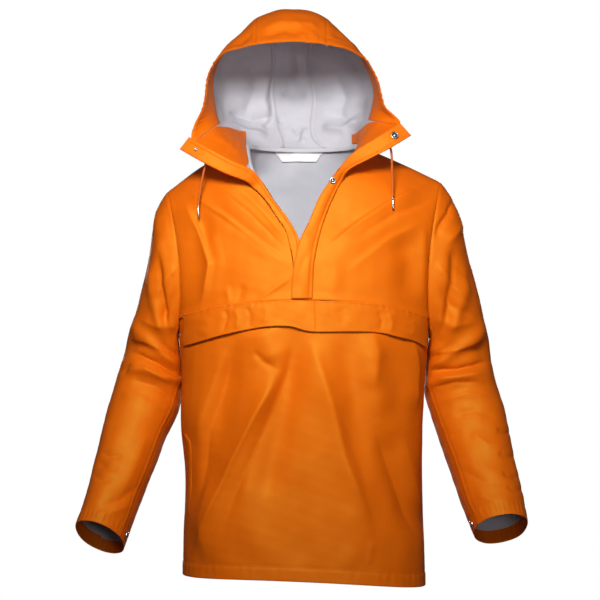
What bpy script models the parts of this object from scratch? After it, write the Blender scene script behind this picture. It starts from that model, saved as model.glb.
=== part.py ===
"""Hooded rain anorak with no wearer: every sewn piece is a closed cloth wall round the hollow that the body fills.

Metres, Z up, the front faces -Y. The origin is where the neck rests on the wearer, between the shoulder points.
"left" and "right" are as seen from the front. Each panel is a grid of points on a surface of the garment, with its
wall laid inwards, and panels that meet share their seam points before each draws back by half a seam gap.
"""

import math

import bmesh
import bpy
import numpy as np
from mathutils import Matrix, Vector

WALL = 0.002
SEAM_GAP = 0.0003
LAYER_GAP = 0.0005
RIM_ORDER = Vector((1.0, 0.37, 0.61))
ROUNDNESS = 2.3
NECK_HALF_WIDTH = 0.102
NECK_BACK_DEPTH = 0.075
LEFT_SHOULDER_DROP = 0.018
HOOD_LEAN = -0.0185
CROWN_LEAN = -0.0045
HEM_TILT = -0.045
LEFT_HIP_SWELL = 0.008
LEFT_HIP_Z = -0.485
CENTRE_FRONT_X = -0.005
CHEST_SEAM_ROW = 6.0
UNDERARM_ROW = 5.0
SHOULDER_ROW = 11.0
BODY_STEPS = 17
UNDERARM_STEPS = 3
CHEST_STEPS = 10
HALF_STEPS = 11
NECK_STEPS = 12
SLEEVE_STEPS = 20
HOOD_STEPS = 16
CORD_RADIUS = 0.002
TIP_RADIUS = 0.0026

# The body, a row for each section from hem to shoulder seam. edge_x and edge_z place the side seam, and from the
# underarm up the edge follows the armhole at arm_deg instead. mid is the centre line of the front and of the back,
# wrap_deg how far a section turns towards the side, fall how sharply it drops from the middle to the edge.
BODY_COLUMNS = "edge_x edge_z arm_deg front_z front_y back_z back_y wrap_deg fall"
BODY = [
    (0.218, -0.770, 180, -0.757, -0.150, -0.765, 0.140, 90, 2.2),
    (0.216, -0.690, 180, -0.680, -0.148, -0.685, 0.136, 90, 2.2),
    (0.213, -0.600, 180, -0.590, -0.146, -0.595, 0.130, 90, 2.2),
    (0.213, -0.510, 180, -0.500, -0.144, -0.505, 0.124, 90, 2.2),
    (0.217, -0.420, 180, -0.405, -0.143, -0.415, 0.124, 90, 2.2),
    (0.2245, -0.335, 180, -0.315, -0.143, -0.330, 0.126, 90, 2.2),
    (0.2245, -0.335, 140, -0.270, -0.143, -0.290, 0.127, 70, 2.2),
    (0.2245, -0.335, 102, -0.200, -0.137, -0.225, 0.125, 62, 2.2),
    (0.2245, -0.335, 77, -0.130, -0.122, -0.150, 0.116, 58, 2.0),
    (0.2245, -0.335, 54, -0.038, -0.100, -0.080, 0.102, 55, 1.6),
    (0.2245, -0.335, 31, 0.004, -0.054, -0.028, 0.085, 52, 1.5),
    (0.2245, -0.335, 0, 0.038, 0.000, 0.038, 0.075, 50, 1.3),
]

# The armhole: its top and lowest points, and how far its front and back bow out and in.
ARM_TOP = (0.246, 0.0, -0.058)
ARM_LOW = (0.2245, 0.0, -0.335)
ARM_FRONT_DEPTH = 0.072
ARM_BACK_DEPTH = 0.078
ARM_INSET = 0.014

# Where the upper front panels end towards the middle, at each body row from the chest seam up: the neck opening,
# then the neck seam.
OPENING_COLUMNS = "row left_x right_x"
OPENING = [
    (6.0, -0.005, -0.005),
    (7.0, -0.012, -0.003),
    (8.0, -0.040, 0.022),
    (9.0, -0.086, 0.066),
    (10.0, -0.098, 0.088),
    (11.0, -0.102, 0.102),
]
NECK_START_ROW = 9.0

# The sleeves, a row for each ring from armhole to cuff: its outer and inner ends in the front view, its middle
# depth, half of its depth, and how far its front tips up.
SLEEVE_COLUMNS = "outer_x outer_z inner_x inner_z mid_y half_depth tilt_deg"
SLEEVE = {
    "right": [
        (0.2460, -0.0580, 0.2245, -0.335, 0.000, 0.075, 0),
        (0.2750, -0.1040, 0.2275, -0.341, 0.006, 0.077, 0),
        (0.2950, -0.1850, 0.2290, -0.351, 0.016, 0.077, 2),
        (0.3210, -0.2800, 0.2265, -0.370, 0.030, 0.075, 4),
        (0.3360, -0.3480, 0.2200, -0.403, 0.040, 0.073, 6),
        (0.3480, -0.4160, 0.2205, -0.441, 0.040, 0.071, 10),
        (0.3610, -0.4620, 0.2300, -0.478, 0.028, 0.068, 16),
        (0.3700, -0.5120, 0.2465, -0.528, 0.005, 0.065, 22),
        (0.3765, -0.5600, 0.2640, -0.578, -0.022, 0.063, 27),
        (0.3860, -0.6130, 0.2800, -0.629, -0.050, 0.061, 30),
        (0.3930, -0.6670, 0.2990, -0.679, -0.080, 0.059, 32),
    ],
    "left": [
        (-0.2460, -0.0760, -0.2245, -0.335, 0.000, 0.075, 0),
        (-0.2685, -0.1180, -0.2275, -0.341, 0.006, 0.077, 0),
        (-0.2780, -0.1850, -0.2290, -0.351, 0.016, 0.077, 2),
        (-0.3000, -0.2750, -0.2265, -0.368, 0.030, 0.075, 4),
        (-0.3200, -0.3380, -0.2210, -0.400, 0.040, 0.073, 6),
        (-0.3350, -0.3960, -0.2215, -0.435, 0.040, 0.071, 10),
        (-0.3480, -0.4420, -0.2285, -0.471, 0.028, 0.068, 16),
        (-0.3610, -0.4970, -0.2490, -0.515, 0.005, 0.065, 22),
        (-0.3730, -0.5560, -0.2680, -0.568, -0.022, 0.063, 27),
        (-0.3850, -0.6150, -0.2930, -0.632, -0.050, 0.061, 30),
        (-0.4020, -0.6735, -0.3170, -0.7015, -0.080, 0.059, 32),
    ],
}

# A hood side panel with its collar, a row for each section from neck seam to crown and four points a row: front
# edge, cheek, ear and back edge. left_drop is how much lower the front edge of the left one lies.
HOOD_COLUMNS = "left_drop front cheek ear back"
HOOD = [
    (0.000, (0.066, -0.102, -0.042), (0.096, -0.040, -0.004), (0.094, 0.035, 0.008), (0.034, 0.071, 0.006)),
    (0.020, (0.108, -0.113, -0.012), (0.112, -0.052, 0.014), (0.102, 0.046, 0.028), (0.030, 0.090, 0.026)),
    (0.030, (0.152, -0.111, 0.016), (0.130, -0.056, 0.032), (0.110, 0.052, 0.048), (0.033, 0.102, 0.047)),
    (0.028, (0.186, -0.098, 0.041), (0.143, -0.055, 0.052), (0.117, 0.054, 0.069), (0.036, 0.110, 0.068)),
    (0.006, (0.162, -0.092, 0.068), (0.145, -0.050, 0.077), (0.121, 0.054, 0.092), (0.038, 0.114, 0.090)),
    (0.000, (0.154, -0.094, 0.100), (0.145, -0.048, 0.108), (0.120, 0.052, 0.118), (0.040, 0.116, 0.114)),
    (0.000, (0.144, -0.099, 0.132), (0.134, -0.045, 0.147), (0.111, 0.047, 0.153), (0.036, 0.114, 0.141)),
    (0.000, (0.117, -0.110, 0.163), (0.107, -0.047, 0.189), (0.088, 0.032, 0.196), (0.034, 0.107, 0.169)),
    (0.000, (0.062, -0.120, 0.177), (0.063, -0.052, 0.226), (0.060, 0.020, 0.236), (0.036, 0.085, 0.203)),
]
CROWN_BULGE = 0.015
FACING_ROW = 6
FACING_COLUMNS = 3
FACING_WALL = 0.0012

# Strips and flaps that lie on the front: a row for each cross line, with the two ends in the front view and how far
# the middle of the layer stands off the cloth under it.
STRIP_COLUMNS = "inner_x inner_z outer_x outer_z inner_off outer_off"
STORM_FLAP = [
    (-0.0225, -0.2680, 0.0150, -0.2680, 0.0085, 0.0031),
    (-0.0180, -0.2130, 0.0170, -0.2130, 0.0085, 0.0031),
    (-0.0075, -0.1680, 0.0240, -0.1720, 0.0085, 0.0031),
    (0.0075, -0.1360, 0.0360, -0.1300, 0.0085, 0.0031),
    (0.0260, -0.0920, 0.0530, -0.0880, 0.0085, 0.0031),
    (0.0430, -0.0660, 0.0660, -0.0640, 0.0090, 0.0045),
]
UNDERLAP = [
    (-0.0030, -0.2620, -0.0170, -0.2620, 0.0040, 0.0035),
    (-0.0040, -0.2050, -0.0200, -0.2050, 0.0040, 0.0035),
    (-0.0090, -0.1650, -0.0310, -0.1540, 0.0040, 0.0035),
    (-0.0270, -0.1300, -0.0470, -0.1270, 0.0040, 0.0035),
    (-0.0480, -0.1020, -0.0660, -0.0990, 0.0045, 0.0040),
    (-0.0700, -0.0680, -0.0860, -0.0780, 0.0060, 0.0050),
]
# The same two strips where they run on along the spread collar, in front of its edge.
COLLAR_STRIP_COLUMNS = "edge_x edge_y edge_z free_x free_y free_z"
STORM_FLAP_COLLAR = [
    (0.0610, -0.1190, -0.0400, 0.0800, -0.1200, -0.0430),
    (0.0870, -0.1240, -0.0120, 0.1130, -0.1290, -0.0255),
    (0.1370, -0.1210, 0.0200, 0.1500, -0.1280, -0.0060),
    (0.1660, -0.1100, 0.0410, 0.1870, -0.1140, 0.0170),
]
UNDERLAP_COLLAR = [
    (-0.0910, -0.1170, -0.0430, -0.1010, -0.1190, -0.0640),
    (-0.1260, -0.1230, -0.0270, -0.1370, -0.1280, -0.0500),
    (-0.1650, -0.1210, -0.0060, -0.1760, -0.1270, -0.0310),
    (-0.2010, -0.1090, 0.0150, -0.2170, -0.1130, -0.0070),
]
STRIP_WALL = 0.0026
STRIP_STEPS = 20

# The chest pocket flap: its upper and lower edges and how far the lower edge stands out.
FLAP_COLUMNS = "x top_z low_z stand_off"
POCKET_FLAP = [
    (-0.211, -0.295, -0.352, 0.007),
    (-0.164, -0.284, -0.338, 0.011),
    (-0.138, -0.279, -0.330, 0.014),
    (-0.101, -0.275, -0.322, 0.010),
    (-0.064, -0.272, -0.316, 0.014),
    (-0.024, -0.270, -0.315, 0.015),
    (0.0155, -0.271, -0.325, 0.011),
    (0.081, -0.273, -0.324, 0.013),
    (0.129, -0.278, -0.327, 0.011),
    (0.160, -0.284, -0.334, 0.014),
    (0.190, -0.291, -0.342, 0.009),
    (0.216, -0.299, -0.356, 0.007),
]
FLAP_TOP_STAND = 0.004
FLAP_STEPS = 22

# The largest folds of the body, on the front and on the back: a soft ridge, or a trough where depth is negative,
# from one end to the other in the front view.
FOLD_COLUMNS = "side start_x start_z end_x end_z half_width depth"
BODY_FOLDS = [
    ("front", -0.030, -0.360, -0.135, -0.690, 0.026, 0.013),
    ("front", -0.008, -0.330, -0.080, -0.640, 0.026, -0.011),
    ("front", 0.010, -0.340, 0.020, -0.740, 0.036, 0.006),
    ("front", 0.030, -0.350, 0.120, -0.720, 0.028, 0.008),
    ("front", 0.075, -0.330, 0.095, -0.560, 0.026, -0.006),
    ("front", 0.112, -0.340, 0.134, -0.480, 0.026, 0.007),
    ("front", 0.145, -0.500, 0.205, -0.680, 0.026, -0.008),
    ("front", -0.120, -0.350, -0.185, -0.640, 0.030, -0.008),
    ("front", -0.180, -0.420, -0.150, -0.740, 0.026, 0.006),
    ("front", -0.180, -0.110, -0.185, -0.270, 0.022, -0.007),
    ("front", -0.150, -0.085, -0.040, -0.190, 0.020, 0.004),
    ("front", 0.190, -0.090, 0.045, -0.200, 0.020, 0.004),
    ("front", 0.170, -0.150, 0.200, -0.280, 0.024, -0.006),
    ("back", -0.090, -0.300, -0.150, -0.700, 0.030, 0.009),
    ("back", -0.020, -0.280, -0.040, -0.720, 0.030, -0.008),
    ("back", 0.060, -0.320, 0.110, -0.730, 0.030, 0.009),
    ("back", 0.170, -0.260, 0.150, -0.600, 0.028, -0.007),
    ("back", -0.180, -0.180, -0.080, -0.330, 0.026, -0.006),
    ("back", 0.180, -0.170, 0.070, -0.300, 0.026, 0.006),
]
# The largest folds of the sleeves, by angle round the sleeve (0 is outside, 90 in front) and ring number.
SLEEVE_FOLD_COLUMNS = "start_deg start_ring end_deg end_ring half_width depth"
SLEEVE_FOLDS = [
    (20, 3.6, 150, 3.9, 0.014, 0.007),
    (10, 4.5, 160, 3.2, 0.013, -0.008),
    (40, 5.0, 175, 4.6, 0.014, 0.007),
    (60, 1.4, 120, 2.4, 0.016, -0.006),
    (40, 2.2, 110, 2.9, 0.014, 0.005),
    (200, 3.4, 300, 4.2, 0.018, -0.006),
    (210, 4.8, 320, 5.1, 0.018, 0.005),
    (320, 1.6, 240, 2.8, 0.018, -0.006),
    (30, 8.6, 120, 8.0, 0.015, -0.003),
]
UNROLLED_RADIUS = 0.07
RING_SPACING = 0.05

# Neck label, pocket welt and snap parts.
LABEL_TOP_HALF = 0.046
LABEL_LOW_HALF = 0.037
LABEL_HEIGHT = 0.019
LABEL_X = -0.009
LABEL_DROP = 0.003
LABEL_WALL = 0.0008
WELT_COLUMNS = "x z half_width"
POCKET_WELT = [(-0.2125, -0.507, 0.004), (-0.2040, -0.523, 0.004), (-0.2020, -0.560, 0.004), (-0.2030, -0.650, 0.004)]
WELT_STAND = 0.0024
SNAP_COLUMNS = "name strip share row radius height clearance"
SNAPS = [
    ("snap_corner", "storm_flap", 0.50, 8.40, 0.0070, 0.0022, 0.0006),
    ("snap_neck", "storm_flap", 0.22, 5.05, 0.0055, 0.0022, 0.0010),
    ("snap_underlap", "underlap", 0.50, 8.45, 0.0050, 0.0020, 0.0006),
]
CUFF_SNAP_RADIUS = 0.0065
CUFF_SNAP_HEIGHT = 0.004
CUFF_SNAP_RING = 9.82
CUFF_SNAP_DEG = 172
CUFF_SNAP_CLEARANCE = 0.0006
CORDS = {
    "right": [(0.1393, -0.1059, 0.0163), (0.1515, -0.1065, -0.0075), (0.1537, -0.1080, -0.0450), (0.1550, -0.1062, -0.0905)],
    "left": [(-0.1673, -0.1026, -0.0067), (-0.1725, -0.1050, -0.0330), (-0.1805, -0.1055, -0.0700), (-0.1850, -0.1040, -0.1040)],
}
TIP_END = {"right": (0.1555, -0.1055, -0.1115), "left": (-0.1850, -0.1035, -0.1250)}

ORANGE = (0.86, 0.27, 0.015)
DARK_ORANGE = (0.72, 0.19, 0.01)
LABEL_WHITE = (0.85, 0.85, 0.86)
STEEL = (0.62, 0.62, 0.64)


def spline(rows, place):
    """The rows read at any place between them, on a smooth curve through each."""
    rows = np.asarray(rows, float)
    index = min(max(int(math.floor(place)), 0), len(rows) - 2)
    part = place - index
    start, end = rows[index], rows[index + 1]
    before = rows[index - 1] if index > 0 else 2 * start - end
    after = rows[index + 2] if index + 2 < len(rows) else 2 * end - start
    bend = 2 * before - 5 * start + 4 * end - after
    twist = 3 * start - before - 3 * end + after
    return start + 0.5 * part * (end - before + part * (bend + part * twist))


def ease(low, high, value):
    """0 below low, 1 above high, smooth between."""
    part = min(max((value - low) / (high - low), 0.0), 1.0)
    return part * part * (3 - 2 * part)


def fold_height(folds, across, along):
    """The summed height of all folds at one place. A fold is its two ends, half width and depth."""
    total = 0.0
    for start_a, start_b, end_a, end_b, half_width, depth in folds:
        run_a, run_b = end_a - start_a, end_b - start_b
        length = math.hypot(run_a, run_b)
        off_a, off_b = across - start_a, along - start_b
        position = (off_a * run_a + off_b * run_b) / (length * length)
        distance = (off_a * run_b - off_b * run_a) / length
        ends = ease(-0.12, 0.25, position) * (1 - ease(0.70, 1.12, position))
        total += depth * ends * math.exp(-((distance / half_width) ** 2))
    return total


def armhole(side, degrees, back):
    """A point of the armhole: 0 is the shoulder point, 180 the underarm."""
    turn = math.radians(degrees)
    share = (1 + math.cos(turn)) / 2
    top, low = np.array(ARM_TOP), np.array(ARM_LOW)
    point = low + (top - low) * share
    bow = max(math.sin(turn), 0.0)
    point[1] = (ARM_BACK_DEPTH if back else -ARM_FRONT_DEPTH) * bow**0.85
    point[0] -= ARM_INSET * bow**2
    if side == "left":
        point[0] = -point[0]
    return point


def settle(point):
    """The unevenness of the body: a lower left shoulder, a hem that tilts, and a left hip that swells."""
    drop = LEFT_SHOULDER_DROP * ease(0.17, 0.26, -point[0]) * ease(-0.335, -0.08, point[2])
    tilt = HEM_TILT * point[0] * ease(0.5, 0.77, -point[2])
    swell = LEFT_HIP_SWELL * ease(0.05, 0.22, -point[0]) * math.exp(-(((point[2] - LEFT_HIP_Z) / 0.07) ** 2))
    return point + np.array([-swell, 0.0, tilt - drop])


def body_point(back, across, row):
    """A point of the body: across runs from -1 at the left edge to 1 at the right edge, row along BODY."""
    edge_x, edge_z, arm_deg, front_z, front_y, back_z, back_y, wrap_deg, fall = spline(BODY, row)
    side = "right" if across >= 0 else "left"
    edge = np.array([edge_x if side == "right" else -edge_x, 0.0, edge_z])
    if row > UNDERARM_ROW:
        edge = armhole(side, max(arm_deg, 0.0), back)
    wrap = math.radians(min(wrap_deg, 90.0))
    turn = min(abs(across), 1.02) * wrap
    power = 2 / ROUNDNESS
    share_x = (math.sin(min(turn, math.pi / 2)) / math.sin(wrap)) ** power
    whole = 1 - max(math.cos(wrap), 0.0) ** power
    share_y = (1 - max(math.cos(turn), 0.0) ** power) / whole
    middle_y, middle_z = (back_y, back_z) if back else (front_y, front_z)
    point = np.array(
        [
            edge[0] * share_x,
            middle_y + (edge[1] - middle_y) * share_y,
            edge[2] + (middle_z - edge[2]) * (1 - share_x**fall),
        ]
    )
    if back:
        point = back_neck(point, row, edge[1] * share_x**3)
    point = settle(point)
    height = fold_height(BACK_FOLDS if back else FRONT_FOLDS, point[0], point[2])
    edge_fade = 1 - ease(0.80, 0.985, abs(across))
    seam_fade = ease(0.35, 1.4, SHOULDER_ROW - row) * ease(-0.1, 0.9, row)
    outward = np.array([point[0] * 0.8, point[1] * 1.6, 0.0])
    outward /= max(np.linalg.norm(outward), 1e-6)
    return point + outward * height * edge_fade * seam_fade


def back_neck(point, row, edge_y):
    """Draws the top of the back in to the neck seam between the shoulder seams."""
    inside = max(1 - (point[0] / NECK_HALF_WIDTH) ** 2, 0.0)
    neck_z = 0.008 - 0.002 * inside
    near = ease(10.0, 11.0, row)
    shoulder_z = point[2] if inside == 0 else min(point[2], neck_z)
    neck_y = NECK_BACK_DEPTH * inside**0.6 + edge_y
    return np.array([point[0], point[1] + (neck_y - point[1]) * near, point[2] + (shoulder_z - point[2]) * near])


def across_at(back, row, x):
    """The across value at which a body row reaches x."""
    low, high = -1.0, 1.0
    for _ in range(26):
        middle = (low + high) / 2
        if body_point(back, middle, row)[0] < x:
            low = middle
        else:
            high = middle
    return (low + high) / 2


def lie_on(back, x, z, height):
    """A point at a place in the front view, this far out from the front or the back, and its normal."""
    across, row = 0.0, CHEST_SEAM_ROW
    for _ in range(5):
        across = across_at(back, row, x)
        low, high = 0.0, SHOULDER_ROW
        for _ in range(20):
            row = (low + high) / 2
            if body_point(back, across, row)[2] < z:
                low = row
            else:
                high = row
    step = 0.02
    over = body_point(back, across + step, row) - body_point(back, across - step, row)
    up = body_point(back, across, row + step * 5) - body_point(back, across, row - step * 5)
    normal = np.cross(over, up)
    normal *= (-1.0 if back else 1.0) / np.linalg.norm(normal)
    return body_point(back, across, row) + normal * height, normal


def opening_x(side, row):
    """Where the upper front panel of one side ends towards the middle."""
    values = spline(OPENING, min(max(row, CHEST_SEAM_ROW), SHOULDER_ROW) - CHEST_SEAM_ROW)
    return values[1] if side == "left" else values[2]


def sleeve_point(side, degrees, ring):
    """A point of a sleeve: degrees run from the outside over the front and inside to the back."""
    outer_x, outer_z, inner_x, inner_z, mid_y, half_depth, tilt_deg = spline(SLEEVE[side], ring)
    turn = math.radians(degrees)
    back = degrees % 360 > 180
    middle = np.array([(outer_x + inner_x) / 2, mid_y, (outer_z + inner_z) / 2])
    reach = np.array([(outer_x - inner_x) / 2, 0.0, (outer_z - inner_z) / 2])
    tilt = math.radians(tilt_deg)
    forward = np.array([0.0, -math.cos(tilt), math.sin(tilt)]) * half_depth
    round_sin = math.copysign(abs(math.sin(turn)) ** 0.85, math.sin(turn))
    point = middle + reach * math.cos(turn) + forward * round_sin
    fade = (1 - min(ring / 3.0, 1.0)) ** 2
    if fade > 0:
        start = settle(armhole(side, 360 - degrees % 360 if back else degrees % 360, back))
        outer_x, outer_z, inner_x, inner_z, mid_y, half_depth, tilt_deg = SLEEVE[side][0]
        plain = np.array([(outer_x + inner_x) / 2, mid_y, (outer_z + inner_z) / 2])
        plain = plain + np.array([(outer_x - inner_x) / 2, 0.0, (outer_z - inner_z) / 2]) * math.cos(turn)
        plain = plain + np.array([0.0, -half_depth, 0.0]) * round_sin
        point = point + (start - plain) * fade
    height = fold_height(UNROLLED_FOLDS, math.radians(degrees % 360) * UNROLLED_RADIUS, ring * RING_SPACING)
    inner_fade = 1 - 0.8 * math.exp(-(((degrees % 360) - 185) / 28) ** 2)
    height *= ease(0.3, 1.3, ring) * (1 - ease(8.6, 9.6, ring)) * inner_fade
    outward = reach * math.cos(turn) + forward * round_sin
    return point + outward / np.linalg.norm(outward) * height


def unrolled(folds):
    """Sleeve folds with both ends in metres on the unrolled sleeve."""
    found = []
    for start_deg, start_ring, end_deg, end_ring, half_width, depth in folds:
        start = (math.radians(start_deg) * UNROLLED_RADIUS, start_ring * RING_SPACING)
        end = (math.radians(end_deg) * UNROLLED_RADIUS, end_ring * RING_SPACING)
        found.append((*start, *end, half_width, depth))
    return found


def hood_side(side, along, row):
    """A point of a hood side panel: along runs from 0 at the front edge to 3 at the back edge, row along HOOD."""
    sections = []
    for left_drop, *points in HOOD:
        points = np.array(points)
        if side == "left":
            points[0, 2] -= left_drop
            points[1, 2] -= left_drop * 0.3
        sections.append(spline(points, along))
    point = spline(sections, row)
    if side == "left":
        point[0] = -point[0]
    point[0] += HOOD_LEAN * ease(-0.05, 0.06, point[2]) + CROWN_LEAN * ease(0.08, 0.16, point[2])
    return point


def body_rows(first, last):
    """The rows that the panels sample between two named ones, the same for panels that meet."""
    rows = list(np.linspace(0, UNDERARM_ROW, BODY_STEPS + 1))
    rows += list(np.linspace(UNDERARM_ROW, CHEST_SEAM_ROW, UNDERARM_STEPS + 1))[1:]
    rows += list(np.linspace(CHEST_SEAM_ROW, SHOULDER_ROW, CHEST_STEPS + 1))[1:]
    return [row for row in rows if first - 1e-6 <= row <= last + 1e-6]


class Panel:
    """One cloth wall before it is sewn: its outer points, their outward normals and whether it closes on itself."""

    def __init__(self, name, points, colour, closed=False, wall=WALL, flip=False):
        self.name = name
        self.family = name.split("_")[0].replace("front", "back")
        self.points = np.array(points, float)
        self.colour = colour
        self.closed = closed
        self.wall = wall
        self.normals = self.point_normals(-1.0 if flip else 1.0)

    def point_normals(self, sign):
        """The normal at each point from the points round it."""
        points = self.points
        if self.closed:
            across = np.roll(points, -1, axis=0) - np.roll(points, 1, axis=0)
        else:
            across = np.gradient(points, axis=0)
        along = np.gradient(points, axis=1)
        normals = np.cross(across, along) * sign
        return normals / np.maximum(np.linalg.norm(normals, axis=2, keepdims=True), 1e-9)

    def borders(self):
        """The index pairs of the border points, a list for each side of the grid."""
        count_u, count_v = self.points.shape[:2]
        sides = [[(i, 0) for i in range(count_u)], [(i, count_v - 1) for i in range(count_u)]]
        if not self.closed:
            sides += [[(0, j) for j in range(count_v)], [(count_u - 1, j) for j in range(count_v)]]
        return sides

    def draw_back(self, distance):
        """Moves each border in by this much, square to the rim that the shared normals give."""
        moved = self.points.copy()
        centre = {0: 1, 1: -2}
        for number, side in enumerate(self.borders()):
            line = np.array([self.points[i, j] for i, j in side])
            if self.closed:
                tangents = np.roll(line, -1, axis=0) - np.roll(line, 1, axis=0)
            else:
                tangents = np.gradient(line, axis=0)
            for (i, j), tangent in zip(side, tangents):
                step = centre[number % 2]
                inner = self.points[i, step] if number < 2 else self.points[step, j]
                inward = np.cross(self.normals[i, j], tangent)
                inward /= max(np.linalg.norm(inward), 1e-9)
                inward *= math.copysign(1.0, np.dot(inward, inner - self.points[i, j]))
                moved[i, j] += inward * distance
        self.points = moved

    def build(self):
        """The closed solid of this wall."""
        inner = self.points - self.normals * self.wall
        return wall_object(self.name, self.points, inner, self.colour, self.closed)


def wall_object(name, outer, inner, colour, closed=False):
    """A closed solid between two grids of points."""
    count_u, count_v = outer.shape[:2]
    mesh = bmesh.new()
    skins = []
    for grid in (outer, inner):
        skins.append([[mesh.verts.new(Vector(grid[i, j])) for j in range(count_v)] for i in range(count_u)])
    last = count_u if closed else count_u - 1
    for i in range(last):
        after = (i + 1) % count_u
        for j in range(count_v - 1):
            for skin, turned in ((skins[0], False), (skins[1], True)):
                split_quad(mesh, skin[i][j], skin[after][j], skin[after][j + 1], skin[i][j + 1], turned)
        for j in (0, count_v - 1):
            rim_quad(mesh, skins[0][i][j], skins[0][after][j], skins[1][after][j], skins[1][i][j])
    if not closed:
        for i in (0, count_u - 1):
            for j in range(count_v - 1):
                rim_quad(mesh, skins[0][i][j], skins[0][i][j + 1], skins[1][i][j + 1], skins[1][i][j])
    return finish(name, mesh, colour)


def split_quad(mesh, first, second, third, fourth, turned):
    """Two triangles on the same diagonal in both skins, so that layers stay parallel."""
    for corners in ((first, second, third), (first, third, fourth)):
        mesh.faces.new(corners[::-1] if turned else corners)


def rim_quad(mesh, first, second, third, fourth):
    """Two triangles of a rim, on the diagonal that the rim facing it takes too."""
    if first.co.dot(RIM_ORDER) < second.co.dot(RIM_ORDER):
        first, second, third, fourth = second, first, fourth, third
    split_quad(mesh, first, second, third, fourth, False)


def finish(name, mesh, colour, metal=False):
    """Turns a bmesh into a named object with its material."""
    bmesh.ops.recalc_face_normals(mesh, faces=mesh.faces)
    data = bpy.data.meshes.new(name)
    mesh.to_mesh(data)
    mesh.free()
    thing = bpy.data.objects.new(name, data)
    thing.data.materials.append(material(name, colour, metal))
    bpy.data.collections["anorak"].objects.link(thing)
    return thing


def material(name, colour, metal):
    """A plain Principled material."""
    made = bpy.data.materials.new(name + "_material")
    made.use_nodes = True
    shader = made.node_tree.nodes["Principled BSDF"]
    shader.inputs["Base Color"].default_value = (*colour, 1.0)
    shader.inputs["Roughness"].default_value = 0.3 if metal else 0.55
    shader.inputs["Metallic"].default_value = 1.0 if metal else 0.0
    return made


def front_columns(side, row):
    """The across values of one half of the front, from the middle to the edge."""
    x = opening_x(side, row) if row > CHEST_SEAM_ROW else CENTRE_FRONT_X
    start = across_at(False, row, x)
    end = -1.0 if side == "left" else 1.0
    return [start + (end - start) * step / HALF_STEPS for step in range(HALF_STEPS + 1)]


def body_panels():
    """The lower front, the two upper fronts and the back."""
    low_rows = body_rows(0, CHEST_SEAM_ROW)
    lower = []
    for row in low_rows:
        columns = front_columns("left", row)[::-1] + front_columns("right", row)[1:]
        lower.append([body_point(False, across, row) for across in columns])
    lower = np.array(lower).transpose(1, 0, 2)
    panels = [Panel("front_lower", lower, ORANGE)]
    for side in ("left", "right"):
        upper = []
        for row in body_rows(CHEST_SEAM_ROW, SHOULDER_ROW):
            upper.append([body_point(False, across, row) for across in front_columns(side, row)])
        upper = np.array(upper).transpose(1, 0, 2)
        panels.append(Panel("front_upper_" + side, upper, ORANGE, flip=side == "left"))
    neck = across_at(True, SHOULDER_ROW, NECK_HALF_WIDTH)
    outer = [neck + (1 - neck) * step / HALF_STEPS for step in range(HALF_STEPS + 1)]
    middle = [neck * (2 * step / NECK_STEPS - 1) for step in range(1, NECK_STEPS)]
    columns = [-value for value in outer[::-1]] + middle + outer
    back = [[body_point(True, across, row) for row in body_rows(0, SHOULDER_ROW)] for across in columns]
    panels.append(Panel("back", back, ORANGE, flip=True))
    return panels


def sleeve_panel(side):
    """One sleeve, a closed tube whose first ring has the points of the armhole."""
    degrees = [max(spline(BODY, row)[2], 0.0) for row in body_rows(UNDERARM_ROW, SHOULDER_ROW)][::-1]
    degrees += [360 - value for value in degrees[-2:0:-1]]
    rings = np.linspace(0, len(SLEEVE[side]) - 1, SLEEVE_STEPS + 1)
    points = [[sleeve_point(side, value, ring) for ring in rings] for value in degrees]
    return Panel("sleeve_" + side, points, ORANGE, closed=True, flip=side == "left")


def neck_points(side, panels):
    """The neck seam of one side, from the front opening past the shoulder seam to the hood centre panel."""
    upper = panels["front_upper_" + side]
    rows = body_rows(CHEST_SEAM_ROW, SHOULDER_ROW)
    front = [upper.points[0, j] for j, row in enumerate(rows) if row >= NECK_START_ROW - 1e-6]
    back = panels["back"].points[:, -1]
    half = back[HALF_STEPS : HALF_STEPS + NECK_STEPS + 1]
    behind = half[::-1] if side == "right" else half
    return front + list(behind[1 : NECK_STEPS // 3 + 1])


def hood_panels(panels):
    """The two hood sides and the centre panel between them."""
    made, edges = {}, {}
    for side in ("left", "right"):
        seam = neck_points(side, panels)
        last = len(seam) - 1
        rows = np.linspace(0, len(HOOD) - 1, HOOD_STEPS + 1)
        grid = []
        for index, anchor in enumerate(seam):
            along = 3 * index / last
            shift = anchor - hood_side(side, along, 0)
            grid.append([hood_side(side, along, row) + shift * max(1 - row / 2.5, 0) ** 2 for row in rows])
        grid = np.array(grid)
        made["hood_" + side] = Panel("hood_" + side, grid, ORANGE, flip=side == "left")
        edges[side] = np.concatenate([grid[:, -1], grid[-1, -2::-1]])
    made["hood_centre"] = Panel("hood_centre", crown_points(edges, panels), ORANGE, flip=True)
    return made


def crown_points(edges, panels):
    """The hood's centre panel, from brim to back neck, bulged out between the edges of the side panels."""
    centre = []
    across = (edges["right"] - edges["left"]).copy()
    along = np.gradient((edges["left"] + edges["right"]) / 2, axis=0)
    for index, left in enumerate(edges["left"]):
        outward = np.cross(along[index], across[index])
        outward /= -np.linalg.norm(outward)
        bulge = CROWN_BULGE * ease(-3, 5, index) * (1 - 0.6 * ease(9, 18, index))
        line = []
        for share in np.linspace(0, 1, NECK_STEPS // 3 + 1):
            line.append(left + across[index] * share + outward * bulge * math.sin(math.pi * share) ** 0.8)
        centre.append(line)
    first = HALF_STEPS + NECK_STEPS // 3
    centre[-1] = list(panels["back"].points[first : first + NECK_STEPS // 3 + 1, -1])
    return centre


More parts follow.
